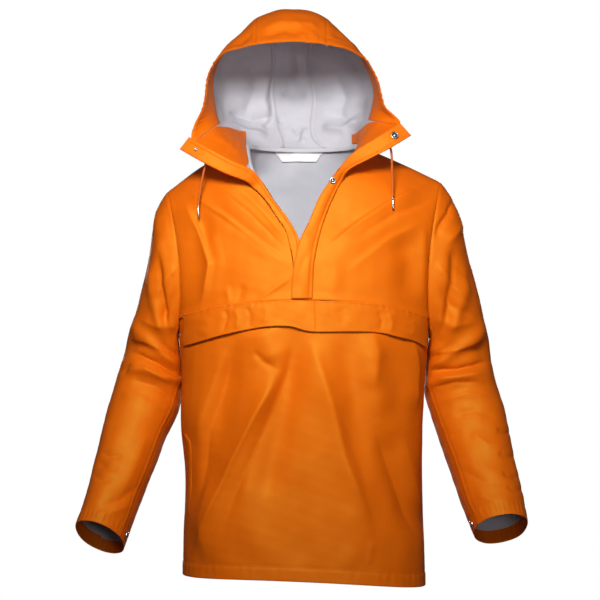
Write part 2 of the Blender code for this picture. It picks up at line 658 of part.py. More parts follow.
def sew(panels):
    """Gives points that panels share one normal, so that the rims that meet are parallel, then parts them."""
    shared = {}
    for panel in panels:
        for place in {place for side in panel.borders() for place in side}:
            key = tuple(np.round(panel.points[place] * 1e5).astype(int))
            shared.setdefault(key, []).append((panel, place))
    for members in shared.values():
        families = {}
        for panel, place in members:
            families[panel.family] = families.get(panel.family, 0) + panel.normals[place]
        total = sum(normal / np.linalg.norm(normal) for normal in families.values())
        for panel, place in members:
            panel.normals[place] = total / np.linalg.norm(total)
    for panel in panels:
        panel.draw_back(SEAM_GAP / 2)


def strip_lines(chest, collar):
    """A front strip's inner edge, middle and outer edge: on the chest first, then along the spread collar."""
    inner, middle, outer = [], [], []
    for inner_x, inner_z, outer_x, outer_z, inner_off, outer_off in chest:
        inner.append(lie_on(False, inner_x, inner_z, inner_off)[0])
        middle.append(lie_on(False, (inner_x + outer_x) / 2, (inner_z + outer_z) / 2, inner_off)[0])
        outer.append(lie_on(False, outer_x, outer_z, outer_off)[0])
    for row in collar:
        inner.append(np.array(row[:3]))
        outer.append(np.array(row[3:]))
        middle.append((inner[-1] + outer[-1]) / 2)
    return inner, middle, outer


def strip_point(lines, share, row):
    """A point across and along a front strip."""
    return spline([spline(line, row) for line in lines], share * (len(lines) - 1))


def front_strip(name, lines, side):
    """A storm flap or underlap as a panel."""
    rows = np.linspace(0, len(lines[0]) - 1, STRIP_STEPS + 1)
    points = [[strip_point(lines, share, row) for row in rows] for share in (0.0, 0.5, 1.0)]
    return Panel(name, points, ORANGE, wall=STRIP_WALL, flip=side == "left")


def pocket_flap():
    """The flap over the chest pocket, sewn along the chest seam, with its lower edge standing off."""
    points = []
    for place in np.linspace(0, len(POCKET_FLAP) - 1, FLAP_STEPS + 1):
        x, top_z, low_z, stand_off = spline(POCKET_FLAP, place)
        line = []
        for share in (0.0, 0.35, 0.7, 1.0):
            height = stand_off + (FLAP_TOP_STAND - stand_off) * share
            line.append(lie_on(False, x, low_z + (top_z - low_z) * share, height)[0])
        points.append(line)
    return Panel("pocket_flap", points, ORANGE)


def pocket_welt():
    """The narrow welt of the hand pocket."""
    points = []
    for part in (-1.0, 1.0):
        line = []
        for place in np.linspace(len(POCKET_WELT) - 1, 0, 7):
            x, z, half_width = spline(POCKET_WELT, place)
            line.append(lie_on(False, x + part * half_width, z, WELT_STAND)[0])
        points.append(line)
    return Panel("pocket_welt", points, DARK_ORANGE, wall=0.0015)


def neck_label():
    """The bare label inside the back of the neck, narrower at its lower edge."""
    points = []
    for part in np.linspace(-1, 1, 7):
        line = []
        for share in (0.0, 0.5, 1.0):
            x = LABEL_X + part * (LABEL_LOW_HALF + (LABEL_TOP_HALF - LABEL_LOW_HALF) * share)
            z = -LABEL_DROP - LABEL_HEIGHT * (1 - share)
            line.append(lie_on(True, x, z, -WALL - 0.0012)[0])
        points.append(line)
    return Panel("neck_label", points, LABEL_WHITE, wall=LABEL_WALL, flip=True)


def inside_layer(name, points, normals):
    """A facing: a thin layer just inside the cloth wall that these points and normals belong to."""
    outer = points - normals * (WALL + LAYER_GAP)
    inner = outer - normals * FACING_WALL
    return wall_object(name, outer, inner, ORANGE)


def facings(panels):
    """The collar facings and the hem of the hood's face opening, from the hood's own points moved in."""
    paths = {}
    for side in ("left", "right"):
        panel = panels["hood_" + side]
        columns, rows = slice(0, FACING_COLUMNS + 1), slice(1, FACING_ROW + 1)
        inside_layer("collar_facing_" + side, panel.points[columns, rows], panel.normals[columns, rows])
        paths[side] = (panel.points[0:2, FACING_ROW + 1 :], panel.normals[0:2, FACING_ROW + 1 :])
    centre = panels["hood_centre"]
    points = [paths["left"][0], centre.points[0:2, 1:-1], paths["right"][0][:, ::-1]]
    normals = [paths["left"][1], centre.normals[0:2, 1:-1], paths["right"][1][:, ::-1]]
    inside_layer("hood_hem", np.concatenate(points, axis=1), np.concatenate(normals, axis=1))


def turned(name, centre, facing, radius, height, colour):
    """A short metal cylinder with a bevelled rim, facing out."""
    mesh = bmesh.new()
    turn = Vector(facing).to_track_quat("Z", "Y").to_matrix().to_4x4()
    bmesh.ops.create_cone(
        mesh,
        cap_ends=True,
        segments=16,
        radius1=radius,
        radius2=radius * 0.8,
        depth=height,
        matrix=Matrix.Translation(Vector(centre)) @ turn,
    )
    return finish(name, mesh, colour, metal=True)


def snaps(strips):
    """The snap parts that show on the front strips and at the inner end of each cuff."""
    for name, strip, share, row, radius, height, clearance in SNAPS:
        edges = strips[strip]
        over = strip_point(edges, share + 0.1, row) - strip_point(edges, share - 0.1, row)
        up = strip_point(edges, share, row + 0.1) - strip_point(edges, share, row - 0.1)
        normal = np.cross(over, up) * (1.0 if strip == "storm_flap" else -1.0)
        normal /= np.linalg.norm(normal)
        centre = strip_point(edges, share, row) + normal * (height / 2 + clearance)
        turned(name, centre, normal, radius, height, STEEL)
    for side in ("left", "right"):
        over = sleeve_point(side, CUFF_SNAP_DEG + 4, CUFF_SNAP_RING) - sleeve_point(
            side, CUFF_SNAP_DEG - 4, CUFF_SNAP_RING
        )
        down = sleeve_point(side, CUFF_SNAP_DEG, CUFF_SNAP_RING + 0.1) - sleeve_point(
            side, CUFF_SNAP_DEG, CUFF_SNAP_RING - 0.1
        )
        normal = np.cross(over, down) * (1.0 if side == "right" else -1.0)
        normal /= np.linalg.norm(normal)
        centre = sleeve_point(side, CUFF_SNAP_DEG, CUFF_SNAP_RING)
        centre = centre + normal * (CUFF_SNAP_HEIGHT / 2 + CUFF_SNAP_CLEARANCE)
        turned("snap_cuff_" + side, centre, normal, CUFF_SNAP_RADIUS, CUFF_SNAP_HEIGHT, STEEL)


def drawstring(side):
    """A drawstring end that hangs from under the collar, and its metal tip."""
    route = CORDS[side]
    data = bpy.data.curves.new("drawstring_" + side, "CURVE")
    data.dimensions = "3D"
    data.bevel_depth = CORD_RADIUS
    data.bevel_resolution = 2
    data.use_fill_caps = True
    places = np.linspace(0, len(route) - 1, 11)
    line = data.splines.new("POLY")
    line.points.add(len(places) - 1)
    for point, place in zip(line.points, places):
        point.co = (*spline(route, place), 1.0)
    thing = bpy.data.objects.new("drawstring_" + side, data)
    data.materials.append(material("drawstring_" + side, DARK_ORANGE, False))
    bpy.data.collections["anorak"].objects.link(thing)
    low, end = Vector(route[-1]), Vector(TIP_END[side])
    axis = (end - low).normalized()
    centre = low + axis * (SEAM_GAP + (end - low).length / 2)
    turned("tip_" + side, centre, axis, TIP_RADIUS, (end - low).length - SEAM_GAP, STEEL)


def main():
    for thing in list(bpy.data.objects):
        bpy.data.objects.remove(thing, do_unlink=True)
    bpy.context.scene.collection.children.link(bpy.data.collections.new("anorak"))
    panels = {panel.name: panel for panel in body_panels()}
    panels.update(hood_panels(panels))
    for side in ("left", "right"):
        panels["sleeve_" + side] = sleeve_panel(side)
    sew(list(panels.values()))
    facings(panels)
    strips = {
        "storm_flap": strip_lines(STORM_FLAP, STORM_FLAP_COLLAR),
        "underlap": strip_lines(UNDERLAP, UNDERLAP_COLLAR),
    }
    layers = [front_strip("storm_flap", strips["storm_flap"], "right")]
    layers.append(front_strip("underlap", strips["underlap"], "left"))
    layers += [pocket_flap(), pocket_welt(), neck_label()]
    for panel in [*panels.values(), *layers]:
        panel.build()
    snaps(strips)
    for side in ("left", "right"):
        drawstring(side)


FRONT_FOLDS = [fold[1:] for fold in BODY_FOLDS if fold[0] == "front"]
BACK_FOLDS = [fold[1:] for fold in BODY_FOLDS if fold[0] == "back"]
UNROLLED_FOLDS = unrolled(SLEEVE_FOLDS)
main()
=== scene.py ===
import math

import bpy
import numpy as np
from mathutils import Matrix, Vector
from mathutils.bvhtree import BVHTree


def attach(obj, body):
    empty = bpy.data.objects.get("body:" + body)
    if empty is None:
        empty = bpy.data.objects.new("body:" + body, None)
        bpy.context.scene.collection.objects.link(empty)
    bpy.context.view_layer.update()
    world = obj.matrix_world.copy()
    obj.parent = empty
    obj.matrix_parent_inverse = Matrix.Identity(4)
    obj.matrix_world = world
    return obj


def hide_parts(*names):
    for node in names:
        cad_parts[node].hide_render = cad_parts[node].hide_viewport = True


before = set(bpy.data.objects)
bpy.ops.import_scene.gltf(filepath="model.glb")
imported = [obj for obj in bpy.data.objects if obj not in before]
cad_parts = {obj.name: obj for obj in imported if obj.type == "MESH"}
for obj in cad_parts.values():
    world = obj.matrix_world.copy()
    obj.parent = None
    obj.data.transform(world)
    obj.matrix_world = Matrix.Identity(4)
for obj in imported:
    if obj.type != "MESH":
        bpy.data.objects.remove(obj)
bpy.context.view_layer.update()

# Everything is in metres. The front faces -Y. Left and right are as seen from the front.

camera = {
    "target": (-0.0072, 0.0, -0.27),
    "distance": 3.6,
    "lens": 120.0,
    "sensorWidth": 36.0,
    "centreX": 304.0,
    "centreY": 300.0,
    "pixelSize": 1.8e-3,  # metres to a pixel of the 600-pixel frame at the garment's middle
}


def linked(name, data):
    # a new object in the scene that holds this data
    thing = bpy.data.objects.new(name, data)
    bpy.context.scene.collection.objects.link(thing)
    return thing


def placeCamera():
    data = bpy.data.cameras.new("camera")
    data.lens = camera["lens"]
    data.sensor_width = camera["sensorWidth"]
    thing = linked("camera", data)
    thing.location = (camera["target"][0], -camera["distance"], camera["target"][2])
    thing.rotation_euler = (math.pi / 2, 0, 0)
    bpy.context.scene.camera = thing


def toPixels(points):
    # where points lie in the camera's picture
    scale = camera["pixelSize"] * (camera["distance"] + points[..., 1]) / camera["distance"]
    x = camera["centreX"] + points[..., 0] / scale
    return x, camera["centreY"] - (points[..., 2] - camera["target"][2]) / scale


def curveAt(rows, place):
    # the rows read at any place between them, on a smooth curve through each
    rows = np.asarray(rows, float)
    index = min(max(int(math.floor(place)), 0), len(rows) - 2)
    part = place - index
    start, end = rows[index], rows[index + 1]
    before = rows[index - 1] if index > 0 else 2 * start - end
    after = rows[index + 2] if index + 2 < len(rows) else 2 * end - start
    bend = 2 * before - 5 * start + 4 * end - after
    twist = 3 * start - before - 3 * end + after
    return start + 0.5 * part * (end - before + part * (bend + part * twist))


# The drawstrings' ends, which hang from under the collar's corners.

drawstring = {
    "radius": 0.002,
    "points": 25,
    "roundness": 4,
    "right": [
        (0.1393, -0.1059, 0.0163),
        (0.1515, -0.1065, -0.0075),
        (0.1537, -0.1080, -0.0450),
        (0.1550, -0.1062, -0.0905),
    ],
    "left": [
        (-0.1673, -0.1026, -0.0067),
        (-0.1725, -0.1050, -0.0330),
        (-0.1805, -0.1055, -0.0700),
        (-0.1850, -0.1040, -0.1040),
    ],
}


def drawstringRoute(side):
    places = np.linspace(0, len(drawstring[side]) - 1, drawstring["points"])
    return np.array([curveAt(drawstring[side], place) for place in places])


def makeDrawstring(side):
    data = bpy.data.curves.new("cord_" + side, "CURVE")
    data.dimensions = "3D"
    data.bevel_depth = drawstring["radius"]
    data.bevel_resolution = drawstring["roundness"]
    data.use_fill_caps = True
    line = data.splines.new("POLY")
    line.points.add(drawstring["points"] - 1)
    for point, place in zip(line.points, drawstringRoute(side)):
        point.co = (*place, 1.0)
    line.use_smooth = True
    return linked("cord_" + side, data)


placeCamera()
cords = {side: makeDrawstring(side) for side in ("left", "right")}
print("stage: camera and drawstrings")


def ease(low, high, value):
    # 0 up to low, 1 from high on, and smooth between
    part = np.clip((value - low) / (high - low), 0.0, 1.0)
    return part * part * (3 - 2 * part)


def bell(value, middle, halfWidth):
    return np.exp(-(((value - middle) / halfWidth) ** 2))


def walkedAlong(line):
    # how far along a line each of its points is
    return np.concatenate([[0], np.cumsum(np.linalg.norm(np.diff(line, axis=0), axis=1))])


def lengthsAlong(points):
    # how far each point of a grid is along its rows, as on the first row
    return np.repeat(walkedAlong(points[0])[None, :], len(points), axis=0)


# The garment's surface, from the same sizes as the solids.

body = {
    # edgeX edgeZ armDegrees frontZ frontY backZ backY wrapDegrees fall
    "rows": [
        (0.218, -0.770, 180, -0.757, -0.150, -0.765, 0.140, 90, 2.2),
        (0.216, -0.690, 180, -0.680, -0.148, -0.685, 0.136, 90, 2.2),
        (0.213, -0.600, 180, -0.590, -0.146, -0.595, 0.130, 90, 2.2),
        (0.213, -0.510, 180, -0.500, -0.144, -0.505, 0.124, 90, 2.2),
        (0.217, -0.420, 180, -0.405, -0.143, -0.415, 0.124, 90, 2.2),
        (0.2245, -0.335, 180, -0.315, -0.143, -0.330, 0.126, 90, 2.2),
        (0.2245, -0.335, 140, -0.270, -0.143, -0.290, 0.127, 70, 2.2),
        (0.2245, -0.335, 102, -0.200, -0.137, -0.225, 0.125, 62, 2.2),
        (0.2245, -0.335, 77, -0.130, -0.122, -0.150, 0.116, 58, 2.0),
        (0.2245, -0.335, 54, -0.038, -0.100, -0.080, 0.102, 55, 1.6),
        (0.2245, -0.335, 31, 0.004, -0.054, -0.028, 0.085, 52, 1.5),
        (0.2245, -0.335, 0, 0.038, 0.000, 0.038, 0.075, 50, 1.3),
    ],
    "roundness": 2.3,
    "centreFrontX": -0.005,
    "neckHalfWidth": 0.102,
    "neckBackDepth": 0.075,
    "neckRows": (10.0, 11.0),
    "neckBackZ": (0.008, -0.002),
    "leftShoulderDrop": 0.018,
    "dropX": (0.17, 0.26),
    "dropZ": (-0.335, -0.08),
    "hemTilt": -0.045,
    "tiltZ": (0.5, 0.77),
    "leftHipSwell": 0.008,
    "swellX": (0.05, 0.22),
    "leftHipZ": -0.485,
    "swellHeight": 0.07,
}
armhole = {
    "top": (0.246, 0.0, -0.058),
    "low": (0.2245, 0.0, -0.335),
    "front": 0.072,
    "back": 0.078,
    "inset": 0.014,
    "roundness": 0.85,
}
rowsOf = {"chestSeam": 6.0, "underarm": 5.0, "shoulder": 11.0, "neckStart": 9.0}
# row, and the left and right X of the opening there
neckOpening = [
    (6.0, -0.005, -0.005),
    (7.0, -0.012, -0.003),
    (8.0, -0.040, 0.022),
    (9.0, -0.086, 0.066),
    (10.0, -0.098, 0.088),
    (11.0, -0.102, 0.102),
]
sleeves = {
    "capRings": 3.0,
    # outerX outerZ innerX innerZ middleY halfDepth tiltDegrees
    "right": [
        (0.2460, -0.0580, 0.2245, -0.335, 0.000, 0.075, 0),
        (0.2750, -0.1040, 0.2275, -0.341, 0.006, 0.077, 0),
        (0.2950, -0.1850, 0.2290, -0.351, 0.016, 0.077, 2),
        (0.3210, -0.2800, 0.2265, -0.370, 0.030, 0.075, 4),
        (0.3360, -0.3480, 0.2200, -0.403, 0.040, 0.073, 6),
        (0.3480, -0.4160, 0.2205, -0.441, 0.040, 0.071, 10),
        (0.3610, -0.4620, 0.2300, -0.478, 0.028, 0.068, 16),
        (0.3700, -0.5120, 0.2465, -0.528, 0.005, 0.065, 22),
        (0.3765, -0.5600, 0.2640, -0.578, -0.022, 0.063, 27),
        (0.3860, -0.6130, 0.2800, -0.629, -0.050, 0.061, 30),
        (0.3930, -0.6670, 0.2990, -0.679, -0.080, 0.059, 32),
    ],
    "left": [
        (-0.2460, -0.0760, -0.2245, -0.335, 0.000, 0.075, 0),
        (-0.2685, -0.1180, -0.2275, -0.341, 0.006, 0.077, 0),
        (-0.2780, -0.1850, -0.2290, -0.351, 0.016, 0.077, 2),
        (-0.3000, -0.2750, -0.2265, -0.368, 0.030, 0.075, 4),
        (-0.3200, -0.3380, -0.2210, -0.400, 0.040, 0.073, 6),
        (-0.3350, -0.3960, -0.2215, -0.435, 0.040, 0.071, 10),
        (-0.3480, -0.4420, -0.2285, -0.471, 0.028, 0.068, 16),
        (-0.3610, -0.4970, -0.2490, -0.515, 0.005, 0.065, 22),
        (-0.3730, -0.5560, -0.2680, -0.568, -0.022, 0.063, 27),
        (-0.3850, -0.6150, -0.2930, -0.632, -0.050, 0.061, 30),
        (-0.4020, -0.6735, -0.3170, -0.7015, -0.080, 0.059, 32),
    ],
}
hood = {
    # leftDrop front cheek ear back
    "rows": [
        (0.000, (0.066, -0.102, -0.042), (0.096, -0.040, -0.004), (0.094, 0.035, 0.008), (0.034, 0.071, 0.006)),
        (0.020, (0.108, -0.113, -0.012), (0.112, -0.052, 0.014), (0.102, 0.046, 0.028), (0.030, 0.090, 0.026)),
        (0.030, (0.152, -0.111, 0.016), (0.130, -0.056, 0.032), (0.110, 0.052, 0.048), (0.033, 0.102, 0.047)),
        (0.028, (0.186, -0.098, 0.041), (0.143, -0.055, 0.052), (0.117, 0.054, 0.069), (0.036, 0.110, 0.068)),
        (0.006, (0.162, -0.092, 0.068), (0.145, -0.050, 0.077), (0.121, 0.054, 0.092), (0.038, 0.114, 0.090)),
        (0.000, (0.154, -0.094, 0.100), (0.145, -0.048, 0.108), (0.120, 0.052, 0.118), (0.040, 0.116, 0.114)),
        (0.000, (0.144, -0.099, 0.132), (0.134, -0.045, 0.147), (0.111, 0.047, 0.153), (0.036, 0.114, 0.141)),
        (0.000, (0.117, -0.110, 0.163), (0.107, -0.047, 0.189), (0.088, 0.032, 0.196), (0.034, 0.107, 0.169)),
        (0.000, (0.062, -0.120, 0.177), (0.063, -0.052, 0.226), (0.060, 0.020, 0.236), (0.036, 0.085, 0.203)),
    ],
    "leftCheekShare": 0.3,
    "lean": -0.0185,
    "leanZ": (-0.05, 0.06),
    "crownLean": -0.0045,
    "crownLeanZ": (0.08, 0.16),
    "crownBulge": 0.015,
    "bulgeStarts": (-3, 5),
    "bulgeEnds": (9, 18),
    "bulgeFade": 0.6,
    "bulgeRoundness": 0.8,
    "settleRows": 2.5,
    "lengthSteps": 16,
}
steps = {"body": 17, "underarm": 3, "chest": 10, "half": 11, "neck": 12, "sleeve": 20}


def armholePoint(side, degrees, back):
    turn = math.radians(degrees)
    top, low = np.array(armhole["top"]), np.array(armhole["low"])
    point = low + (top - low) * (1 + math.cos(turn)) / 2
    bow = max(math.sin(turn), 0.0)
    point[1] = (armhole["back"] if back else -armhole["front"]) * bow ** armhole["roundness"]
    point[0] -= armhole["inset"] * bow**2
    if side == "left":
        point[0] = -point[0]
    return point


def settle(point):
    # a lower left shoulder, a hem that tilts and a left hip that swells
    drop = body["leftShoulderDrop"] * ease(*body["dropX"], -point[0]) * ease(*body["dropZ"], point[2])
    tilt = body["hemTilt"] * point[0] * ease(*body["tiltZ"], -point[2])
    nearHip = math.exp(-(((point[2] - body["leftHipZ"]) / body["swellHeight"]) ** 2))
    swell = body["leftHipSwell"] * ease(*body["swellX"], -point[0]) * nearHip
    return point + np.array([-swell, 0.0, tilt - drop])


def bodyPoint(back, across, row):
    # a point of the front or back: across is -1 to 1 between the sides, and row counts up from the hem
    edgeX, edgeZ, armDegrees, frontZ, frontY, backZ, backY, wrapDegrees, fall = curveAt(body["rows"], row)
    side = "right" if across >= 0 else "left"
    edge = np.array([edgeX if side == "right" else -edgeX, 0.0, edgeZ])
    if row > rowsOf["underarm"]:
        edge = armholePoint(side, max(armDegrees, 0.0), back)
    wrap = math.radians(min(wrapDegrees, 90.0))
    turn = min(abs(across), 1.02) * wrap
    power = 2 / body["roundness"]
    shareX = (math.sin(min(turn, math.pi / 2)) / math.sin(wrap)) ** power
    whole = 1 - max(math.cos(wrap), 0.0) ** power
    shareY = (1 - max(math.cos(turn), 0.0) ** power) / whole
    middleY, middleZ = (backY, backZ) if back else (frontY, frontZ)
    y = middleY + (edge[1] - middleY) * shareY
    z = edge[2] + (middleZ - edge[2]) * (1 - shareX**fall)
    point = np.array([edge[0] * shareX, y, z])
    if back:
        inside = max(1 - (point[0] / body["neckHalfWidth"]) ** 2, 0.0)
        near = ease(*body["neckRows"], row)
        seamZ, dip = body["neckBackZ"]
        shoulderZ = point[2] if inside == 0 else min(point[2], seamZ + dip * inside)
        neckY = body["neckBackDepth"] * inside**0.6 + edge[1] * shareX**3
        point = point + np.array([0.0, neckY - point[1], shoulderZ - point[2]]) * near
    return settle(point)


def acrossAt(back, row, x):
    # the place across a row that has this x
    low, high = -1.0, 1.0
    halvings = 22
    for _ in range(halvings):
        middle = (low + high) / 2
        if bodyPoint(back, middle, row)[0] < x:
            low = middle
        else:
            high = middle
    return (low + high) / 2


def sleevePoint(side, degrees, ring):
    def onRing(values):
        outerX, outerZ, innerX, innerZ, middleY, halfDepth, tiltDegrees = values
        middle = np.array([(outerX + innerX) / 2, middleY, (outerZ + innerZ) / 2])
        reach = np.array([(outerX - innerX) / 2, 0.0, (outerZ - innerZ) / 2])
        tilt = math.radians(tiltDegrees)
        forward = np.array([0.0, -math.cos(tilt), math.sin(tilt)]) * halfDepth
        return middle + reach * math.cos(turn) + forward * roundSin

    turn = math.radians(degrees)
    back = degrees % 360 > 180
    roundSin = math.copysign(abs(math.sin(turn)) ** armhole["roundness"], math.sin(turn))
    point = onRing(curveAt(sleeves[side], ring))
    fade = (1 - min(ring / sleeves["capRings"], 1.0)) ** 2
    if fade > 0:
        start = settle(armholePoint(side, 360 - degrees % 360 if back else degrees % 360, back))
        point = point + (start - onRing((*sleeves[side][0][:6], 0))) * fade
    return point


def hoodPoint(side, along, row):
    sections = []
    for leftDrop, *points in hood["rows"]:
        points = np.array(points)
        if side == "left":
            points[0, 2] -= leftDrop
            points[1, 2] -= leftDrop * hood["leftCheekShare"]
        sections.append(curveAt(points, along))
    point = curveAt(sections, row)
    if side == "left":
        point[0] = -point[0]
    point[0] += hood["lean"] * ease(*hood["leanZ"], point[2])
    point[0] += hood["crownLean"] * ease(*hood["crownLeanZ"], point[2])
    return point


def bodyRowsFrom(first, last):
    rows = list(np.linspace(0, rowsOf["underarm"], steps["body"] + 1))
    rows += list(np.linspace(rowsOf["underarm"], rowsOf["chestSeam"], steps["underarm"] + 1))[1:]
    rows += list(np.linspace(rowsOf["chestSeam"], rowsOf["shoulder"], steps["chest"] + 1))[1:]
    return [row for row in rows if first - 1e-6 <= row <= last + 1e-6]


def frontColumns(side, row):
    # places across one half of the front, from the neck opening or the middle to the side
    x = body["centreFrontX"]
    if row > rowsOf["chestSeam"]:
        values = curveAt(neckOpening, min(row, rowsOf["shoulder"]) - rowsOf["chestSeam"])
        x = values[1] if side == "left" else values[2]
    start = acrossAt(False, row, x)
    end = -1.0 if side == "left" else 1.0
    return [start + (end - start) * step / steps["half"] for step in range(steps["half"] + 1)]


def sleeveDegrees():
    # the angles of the sleeve's columns, once round from the outside
    rows = bodyRowsFrom(rowsOf["underarm"], rowsOf["shoulder"])
    degrees = [max(curveAt(body["rows"], row)[2], 0.0) for row in rows][::-1]
    return degrees + [360 - value for value in degrees[-2:0:-1]]


def coarsePanels():
    # the points that the sewn panels share with the solids, before any fold
    panels = {}
    lower = []
    for row in bodyRowsFrom(0, rowsOf["chestSeam"]):
        columns = frontColumns("left", row)[::-1] + frontColumns("right", row)[1:]
        lower.append([bodyPoint(False, across, row) for across in columns])
    panels["front_lower"] = np.array(lower).transpose(1, 0, 2)
    chestRows = bodyRowsFrom(rowsOf["chestSeam"], rowsOf["shoulder"])
    for side in ("left", "right"):
        upper = [[bodyPoint(False, across, row) for across in frontColumns(side, row)] for row in chestRows]
        panels["front_upper_" + side] = np.array(upper).transpose(1, 0, 2)
    neck = acrossAt(True, rowsOf["shoulder"], body["neckHalfWidth"])
    outer = [neck + (1 - neck) * step / steps["half"] for step in range(steps["half"] + 1)]
    middle = [neck * (2 * step / steps["neck"] - 1) for step in range(1, steps["neck"])]
    columns = [-value for value in outer[::-1]] + middle + outer
    allRows = bodyRowsFrom(0, rowsOf["shoulder"])
    panels["back"] = np.array([[bodyPoint(True, across, row) for row in allRows] for across in columns])
    wide = np.linspace(-1, 1, 2 * steps["half"] + 1)
    panels["front_whole"] = np.array([[bodyPoint(False, across, row) for row in allRows] for across in wide])
    for side in ("left", "right"):
        rings = np.linspace(0, len(sleeves[side]) - 1, steps["sleeve"] + 1)
        tube = [[sleevePoint(side, value, ring) for ring in rings] for value in sleeveDegrees()]
        panels["sleeve_" + side] = np.array(tube)
    addHood(panels, chestRows)
    return panels


def addHood(panels, chestRows):
    # the hood's panels, which start at the neck seam of the body's panels
    edges = {}
    third = steps["neck"] // 3
    backTop = panels["back"][:, -1]
    for side in ("left", "right"):
        opening = zip(panels["front_upper_" + side][0], chestRows)
        front = [point for point, row in opening if row >= rowsOf["neckStart"] - 1e-6]
        half = backTop[steps["half"] : steps["half"] + steps["neck"] + 1]
        seam = front + list((half[::-1] if side == "right" else half)[1 : third + 1])
        rows = np.linspace(0, len(hood["rows"]) - 1, hood["lengthSteps"] + 1)
        grid = []
        for index, anchor in enumerate(seam):
            along = 3 * index / (len(seam) - 1)
            shift = anchor - hoodPoint(side, along, 0)
            shares = [max(1 - row / hood["settleRows"], 0) ** 2 for row in rows]
            grid.append([hoodPoint(side, along, row) + shift * share for row, share in zip(rows, shares)])
        grid = np.array(grid)
        panels["hood_" + side] = grid
        edges[side] = np.concatenate([grid[:, -1], grid[-1, -2::-1]])
    across = edges["right"] - edges["left"]
    along = np.gradient((edges["left"] + edges["right"]) / 2, axis=0)
    centre = []
    for index, left in enumerate(edges["left"]):
        outward = np.cross(along[index], across[index])
        outward /= -np.linalg.norm(outward)
        fade = 1 - hood["bulgeFade"] * ease(*hood["bulgeEnds"], index)
        bulge = hood["crownBulge"] * ease(*hood["bulgeStarts"], index) * fade
        line = []
        for share in np.linspace(0, 1, third + 1):
            crown = math.sin(math.pi * share) ** hood["bulgeRoundness"]
            line.append(left + across[index] * share + outward * bulge * crown)
        centre.append(line)
    first = steps["half"] + third
    centre[-1] = list(backTop[first : first + third + 1])
    panels["hood_centre"] = np.array(centre)


coarse = coarsePanels()
print("stage: surface of the garment")


# Fine surfaces with folds, made from the coarse ones.


def refineWeights(count, per, closed):
    # the weights that turn coarse points into fine ones on a smooth curve
    spans = count if closed else count - 1
    weights = np.zeros((spans * per + (0 if closed else 1), count))
    for fine in range(len(weights)):
        index = min(fine // per, spans - 1)
        part = (fine - index * per) / per
        before = 0.5 * (-part + 2 * part**2 - part**3)
        start = 0.5 * (2 - 5 * part**2 + 3 * part**3)
        end = 0.5 * (part + 4 * part**2 - 3 * part**3)
        after = 0.5 * (part**3 - part**2)
        for at, weight in zip((index - 1, index, index + 1, index + 2), (before, start, end, after)):
            if closed:
                weights[fine, at % count] += weight
            elif at < 0:
                weights[fine, 0] += 2 * weight
                weights[fine, 1] -= weight
            elif at > count - 1:
                weights[fine, -1] += 2 * weight
                weights[fine, -2] -= weight
            else:
                weights[fine, at] += weight
    return weights


def refine(grid, perAcross, perAlong, closed=False):
    across = refineWeights(grid.shape[0], perAcross, closed)
    along = refineWeights(grid.shape[1], perAlong, False)
    return np.einsum("ai,ijk,bj->abk", across, grid, along, optimize=True)


def gridNormals(points, closed, sign):
    if closed:
        across = np.roll(points, -1, axis=0) - np.roll(points, 1, axis=0)
    else:
        across = np.gradient(points, axis=0)
    normals = np.cross(across, np.gradient(points, axis=1)) * sign
    return normals / np.maximum(np.linalg.norm(normals, axis=2, keepdims=True), 1e-9)


noBorder = 9.0  # further than any point lies from a border


def borderDistances(points, closed):
    # how far each point lies from the four borders of its panel, along the cloth
    stepAcross = np.linalg.norm(np.diff(points, axis=0), axis=2)
    stepAlong = np.linalg.norm(np.diff(points, axis=1), axis=2)
    fromFirst = np.concatenate([np.zeros((1, points.shape[1])), np.cumsum(stepAcross, axis=0)])
    fromLow = np.concatenate([np.zeros((points.shape[0], 1)), np.cumsum(stepAlong, axis=1)], axis=1)
    far = np.full(points.shape[:2], noBorder)
    return {
        "first": far if closed else fromFirst,
        "last": far if closed else fromFirst[-1] - fromFirst,
        "low": fromLow,
        "high": fromLow[:, -1:] - fromLow,
    }


creaseShape = {"sideBlend": 1.5, "crispRate": 1.7, "starts": (-0.03, 0.25), "ends": (0.72, 1.03)}


def creaseHeights(table, x, y):
    # The summed height of the listed creases. Each has a path in pixels of the front view, its height in
    # millimetres, its half width in pixels on either side, and how crisp its crest is, from 0 to 1. The first
    # half width is to the left of a path that runs down, or below one that runs to the right.
    total = np.zeros_like(x)
    for path, height, wideLeft, wideRight, crisp in table:
        path = np.array(path, float)
        lengths = np.linalg.norm(np.diff(path, axis=0), axis=1)
        best = np.full(x.shape, 1e9)
        side, position = np.zeros_like(x), np.zeros_like(x)
        walked = 0.0
        for start, end, length in zip(path[:-1], path[1:], lengths):
            run = (end - start) / length
            offX, offY = x - start[0], y - start[1]
            place = np.clip(offX * run[0] + offY * run[1], 0, length)
            away = np.hypot(offX - place * run[0], offY - place * run[1])
            nearer = away < best
            best = np.where(nearer, away, best)
            side = np.where(nearer, run[0] * offY - run[1] * offX, side)
            position = np.where(nearer, (walked + place) / lengths.sum(), position)
            walked += length
        blend = creaseShape["sideBlend"]
        width = wideRight + (wideLeft - wideRight) * ease(-blend, blend, side)
        share = best / width
        shape = (1 - crisp) * np.exp(-(share**2)) + crisp * np.exp(-creaseShape["crispRate"] * share)
        ends = ease(*creaseShape["starts"], position) * (1 - ease(*creaseShape["ends"], position))
        total += height * 0.001 * shape * ends
    return total


foldShape = {"starts": (-0.12, 0.25), "ends": (0.70, 1.12)}


